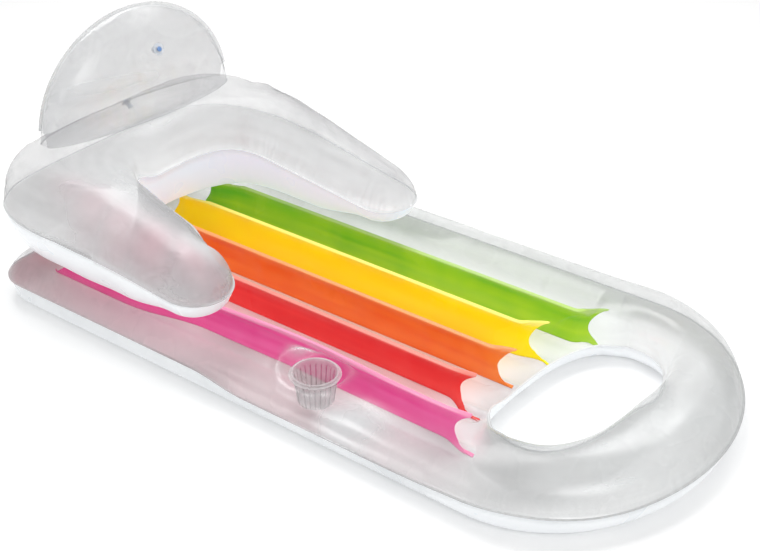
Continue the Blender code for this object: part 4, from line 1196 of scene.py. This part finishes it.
def turnPiece(name, profile, steps, flutes=0):
    # profile points are (radius, height, flute depth), drawn out of one circle by extruding
    clearSelection()
    radius, height, _ = profile[0]
    bpy.ops.mesh.primitive_circle_add(vertices=steps, radius=radius, location=(0, 0, height))
    piece = bpy.context.object
    piece.name = piece.data.name = name
    bpy.ops.object.transform_apply(location=True, rotation=True, scale=True)
    bpy.ops.object.mode_set(mode="EDIT")
    bpy.ops.mesh.select_all(action="SELECT")
    for nextRadius, nextHeight, _ in profile[1:]:
        bpy.ops.mesh.extrude_edges_move(TRANSFORM_OT_translate={"value": (0, 0, nextHeight - height)})
        factor = nextRadius / radius
        bpy.ops.transform.resize(value=(factor, factor, 1), center_override=(0, 0, 0))
        radius, height = nextRadius, nextHeight
    bpy.ops.object.mode_set(mode="OBJECT")
    points = readPoints(piece)
    bearing, size = np.arctan2(points[:, 1], points[:, 0]), np.hypot(points[:, 0], points[:, 1])
    depth = np.repeat([ring[2] for ring in profile], steps)
    wave = (0.5 - 0.5 * np.cos(flutes * bearing)) ** 1.6
    points[:, :2] *= ((size - depth * wave) / size)[:, None]
    writePoints(piece, points)
    # painted shade: dark on both flanks of each flute
    fluteShade = 0.9 * bell(np.cos(flutes * bearing), 0, 0.30) * depth / cup["flute"]
    setAttribute(piece, "fluteShade", fluteShade)
    return piece


def makeCup():
    wall, depth, foot, throat = cup["wall"], cup["depth"], cup["foot"], cup["throat"]
    flange, flute, gap = cup["flange"], cup["flute"], film["gap"]
    lipTop, inner = gap + wall, throat - wall
    # the outside from the middle of the floor up to the flange, then the rim, then the inside down again
    profile = [(0.0008, -depth, 0)] + [(foot * share, -depth, 0) for share in (0.35, 0.7, 0.9)]
    profile += [(foot * 0.975, -depth + 0.0006, flute * 0.5), (foot, -depth + 0.003, flute)]
    for share in np.linspace(0.08, 1, 12):
        profile.append((mix(foot, throat - gap, share), mix(-depth + 0.003, -cup["rimHeight"], share),
                        flute * (1 - 0.25 * share)))
    profile += [(throat - 0.0001, -0.0070, flute * 0.3), (throat, -0.004, 0), (throat, gap, 0),
                (flange * 0.92, gap, 0), (flange, gap, 0), (flange + 0.0003, gap + wall * 0.5, 0),
                (flange, lipTop, 0), (throat + wall * 3.2, lipTop, 0), (throat + wall * 2.2, lipTop + 0.0006, 0)]
    for turn in np.linspace(-0.7, math.pi + 0.35, 12):
        profile.append((cup["rim"] - 0.0028 + 0.0026 * math.cos(turn),
                        cup["rimTop"] - 0.0012 + 0.0024 * math.sin(turn), 0))
    profile += [(inner + 0.0012, 0.003, 0), (inner, 0.000, 0), (inner, -0.004, 0)]
    for share in np.linspace(0, 1, 12):
        profile.append((mix(inner - gap, foot - wall, share), mix(-cup["rimHeight"], -depth + wall + 0.003, share),
                        flute * (0.75 + 0.25 * share)))
    profile += [(foot - wall - 0.0012, -depth + wall + 0.0006, flute * 0.5),
                *((radius, -depth + wall, 0) for radius in (foot * 0.88, foot * 0.5, 0.0008))]
    piece = turnPiece("drinkHolder", profile, 144, cup["flutes"])
    editMesh(piece, (bpy.ops.mesh.fill_holes, dict(sides=0)), makeConsistent)
    writePoints(piece, readPoints(piece) + np.array([cupX, cupY, cup["seat"]]))
    pickOnly(piece)
    bpy.ops.object.shade_smooth_by_angle(angle=math.radians(40))
    piece.data.materials.append(cupMaterial)
    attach(piece, "lounger")
    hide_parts("drink_holder")


print("making the drink holder")
makeCup()

for owner in valves:
    for part in ("ring", "stem", "flap", "plug"):
        node = nodes[owner + "_valve_" + part]
        node.data.materials.clear()
        node.data.materials.append(plugMaterial if part == "plug" else valveMaterial)


# floor, backdrop, lamps and camera

studio = dict(floorSize=24.0, floorColour=(0.92, 0.92, 0.92), floorGlow=0.10, worldStrength=0.58)
softboxes = dict(
    top=dict(place=(0.5, 0.9, 3.0), target=(0, 0, 0), size=(2.0, 2.0), power=55.0),
    left=dict(place=(-3.2, 1.6, 1.8), target=(-0.2, 0.2, 0.2), size=(1.6, 1.0), power=11.0),
    foot=dict(place=(-1.2, -3.0, 2.6), target=(0, -0.4, 0.1), size=(1.6, 0.8), power=22.0),
    crest=dict(place=(1.9, -0.6, 2.5), target=(0, -0.6, 0.1), size=(1.0, 1.0), power=14.0))
view = dict(place=(-1.9152, -1.4390, 1.6315), target=(0.0747, 0.0296, 0.0970), lens=60, sensor=36)


def makeFloor():
    clearSelection()
    bpy.ops.mesh.primitive_plane_add(size=studio["floorSize"], location=(0, 0, -0.0006))
    floor = bpy.context.object
    floor.name = "studioFloor"
    bpy.ops.object.transform_apply(location=True)
    material, tree, shader = startMaterial("pale floor")
    # it glows for rays from the camera, and for those seen in gloss and through film
    rays = addNode(tree, "ShaderNodeLightPath", {})
    seen = addMath(tree, addMath(tree, rays["Is Camera Ray"], rays["Is Glossy Ray"]), rays["Is Transmission Ray"])
    feed(tree, shader, {
        "Base Color": (*studio["floorColour"], 1), "Roughness": 0.9, "Specular IOR Level": 0.0,
        "Emission Color": (1, 1, 1, 1), "Emission Strength": addRange(tree, seen, 0, 1, 0, studio["floorGlow"])})
    floor.data.materials.append(material)


def makeWorld():
    world = bpy.data.worlds.new("studioWorld")
    bpy.context.scene.world = world
    world.use_nodes = True
    tree = world.node_tree
    seen = addNode(tree, "ShaderNodeLightPath", {})["Is Camera Ray"]
    feed(tree, tree.nodes["Background"], {
        "Color": (1, 1, 1, 1), "Strength": addRange(tree, seen, 0, 1, studio["worldStrength"], 1.0)})


def aim(name, data, place, target):
    thing = bpy.data.objects.new(name, data)
    bpy.context.scene.collection.objects.link(thing)
    thing.location = place
    thing.rotation_euler = (Vector(target) - Vector(place)).to_track_quat("-Z", "Y").to_euler()
    return thing


print("setting the studio")
makeFloor()
makeWorld()
for name, box in softboxes.items():
    light = bpy.data.lights.new(name + "Softbox", "AREA")
    light.shape = "RECTANGLE"
    light.size, light.size_y = box["size"]
    light.energy = box["power"]
    aim(light.name, light, box["place"], box["target"])
cameraData = bpy.data.cameras.new("camera")
cameraData.lens, cameraData.sensor_width = view["lens"], view["sensor"]
bpy.context.scene.camera = aim("camera", cameraData, view["place"], view["target"])
bpy.context.scene.view_settings.view_transform = "Standard"
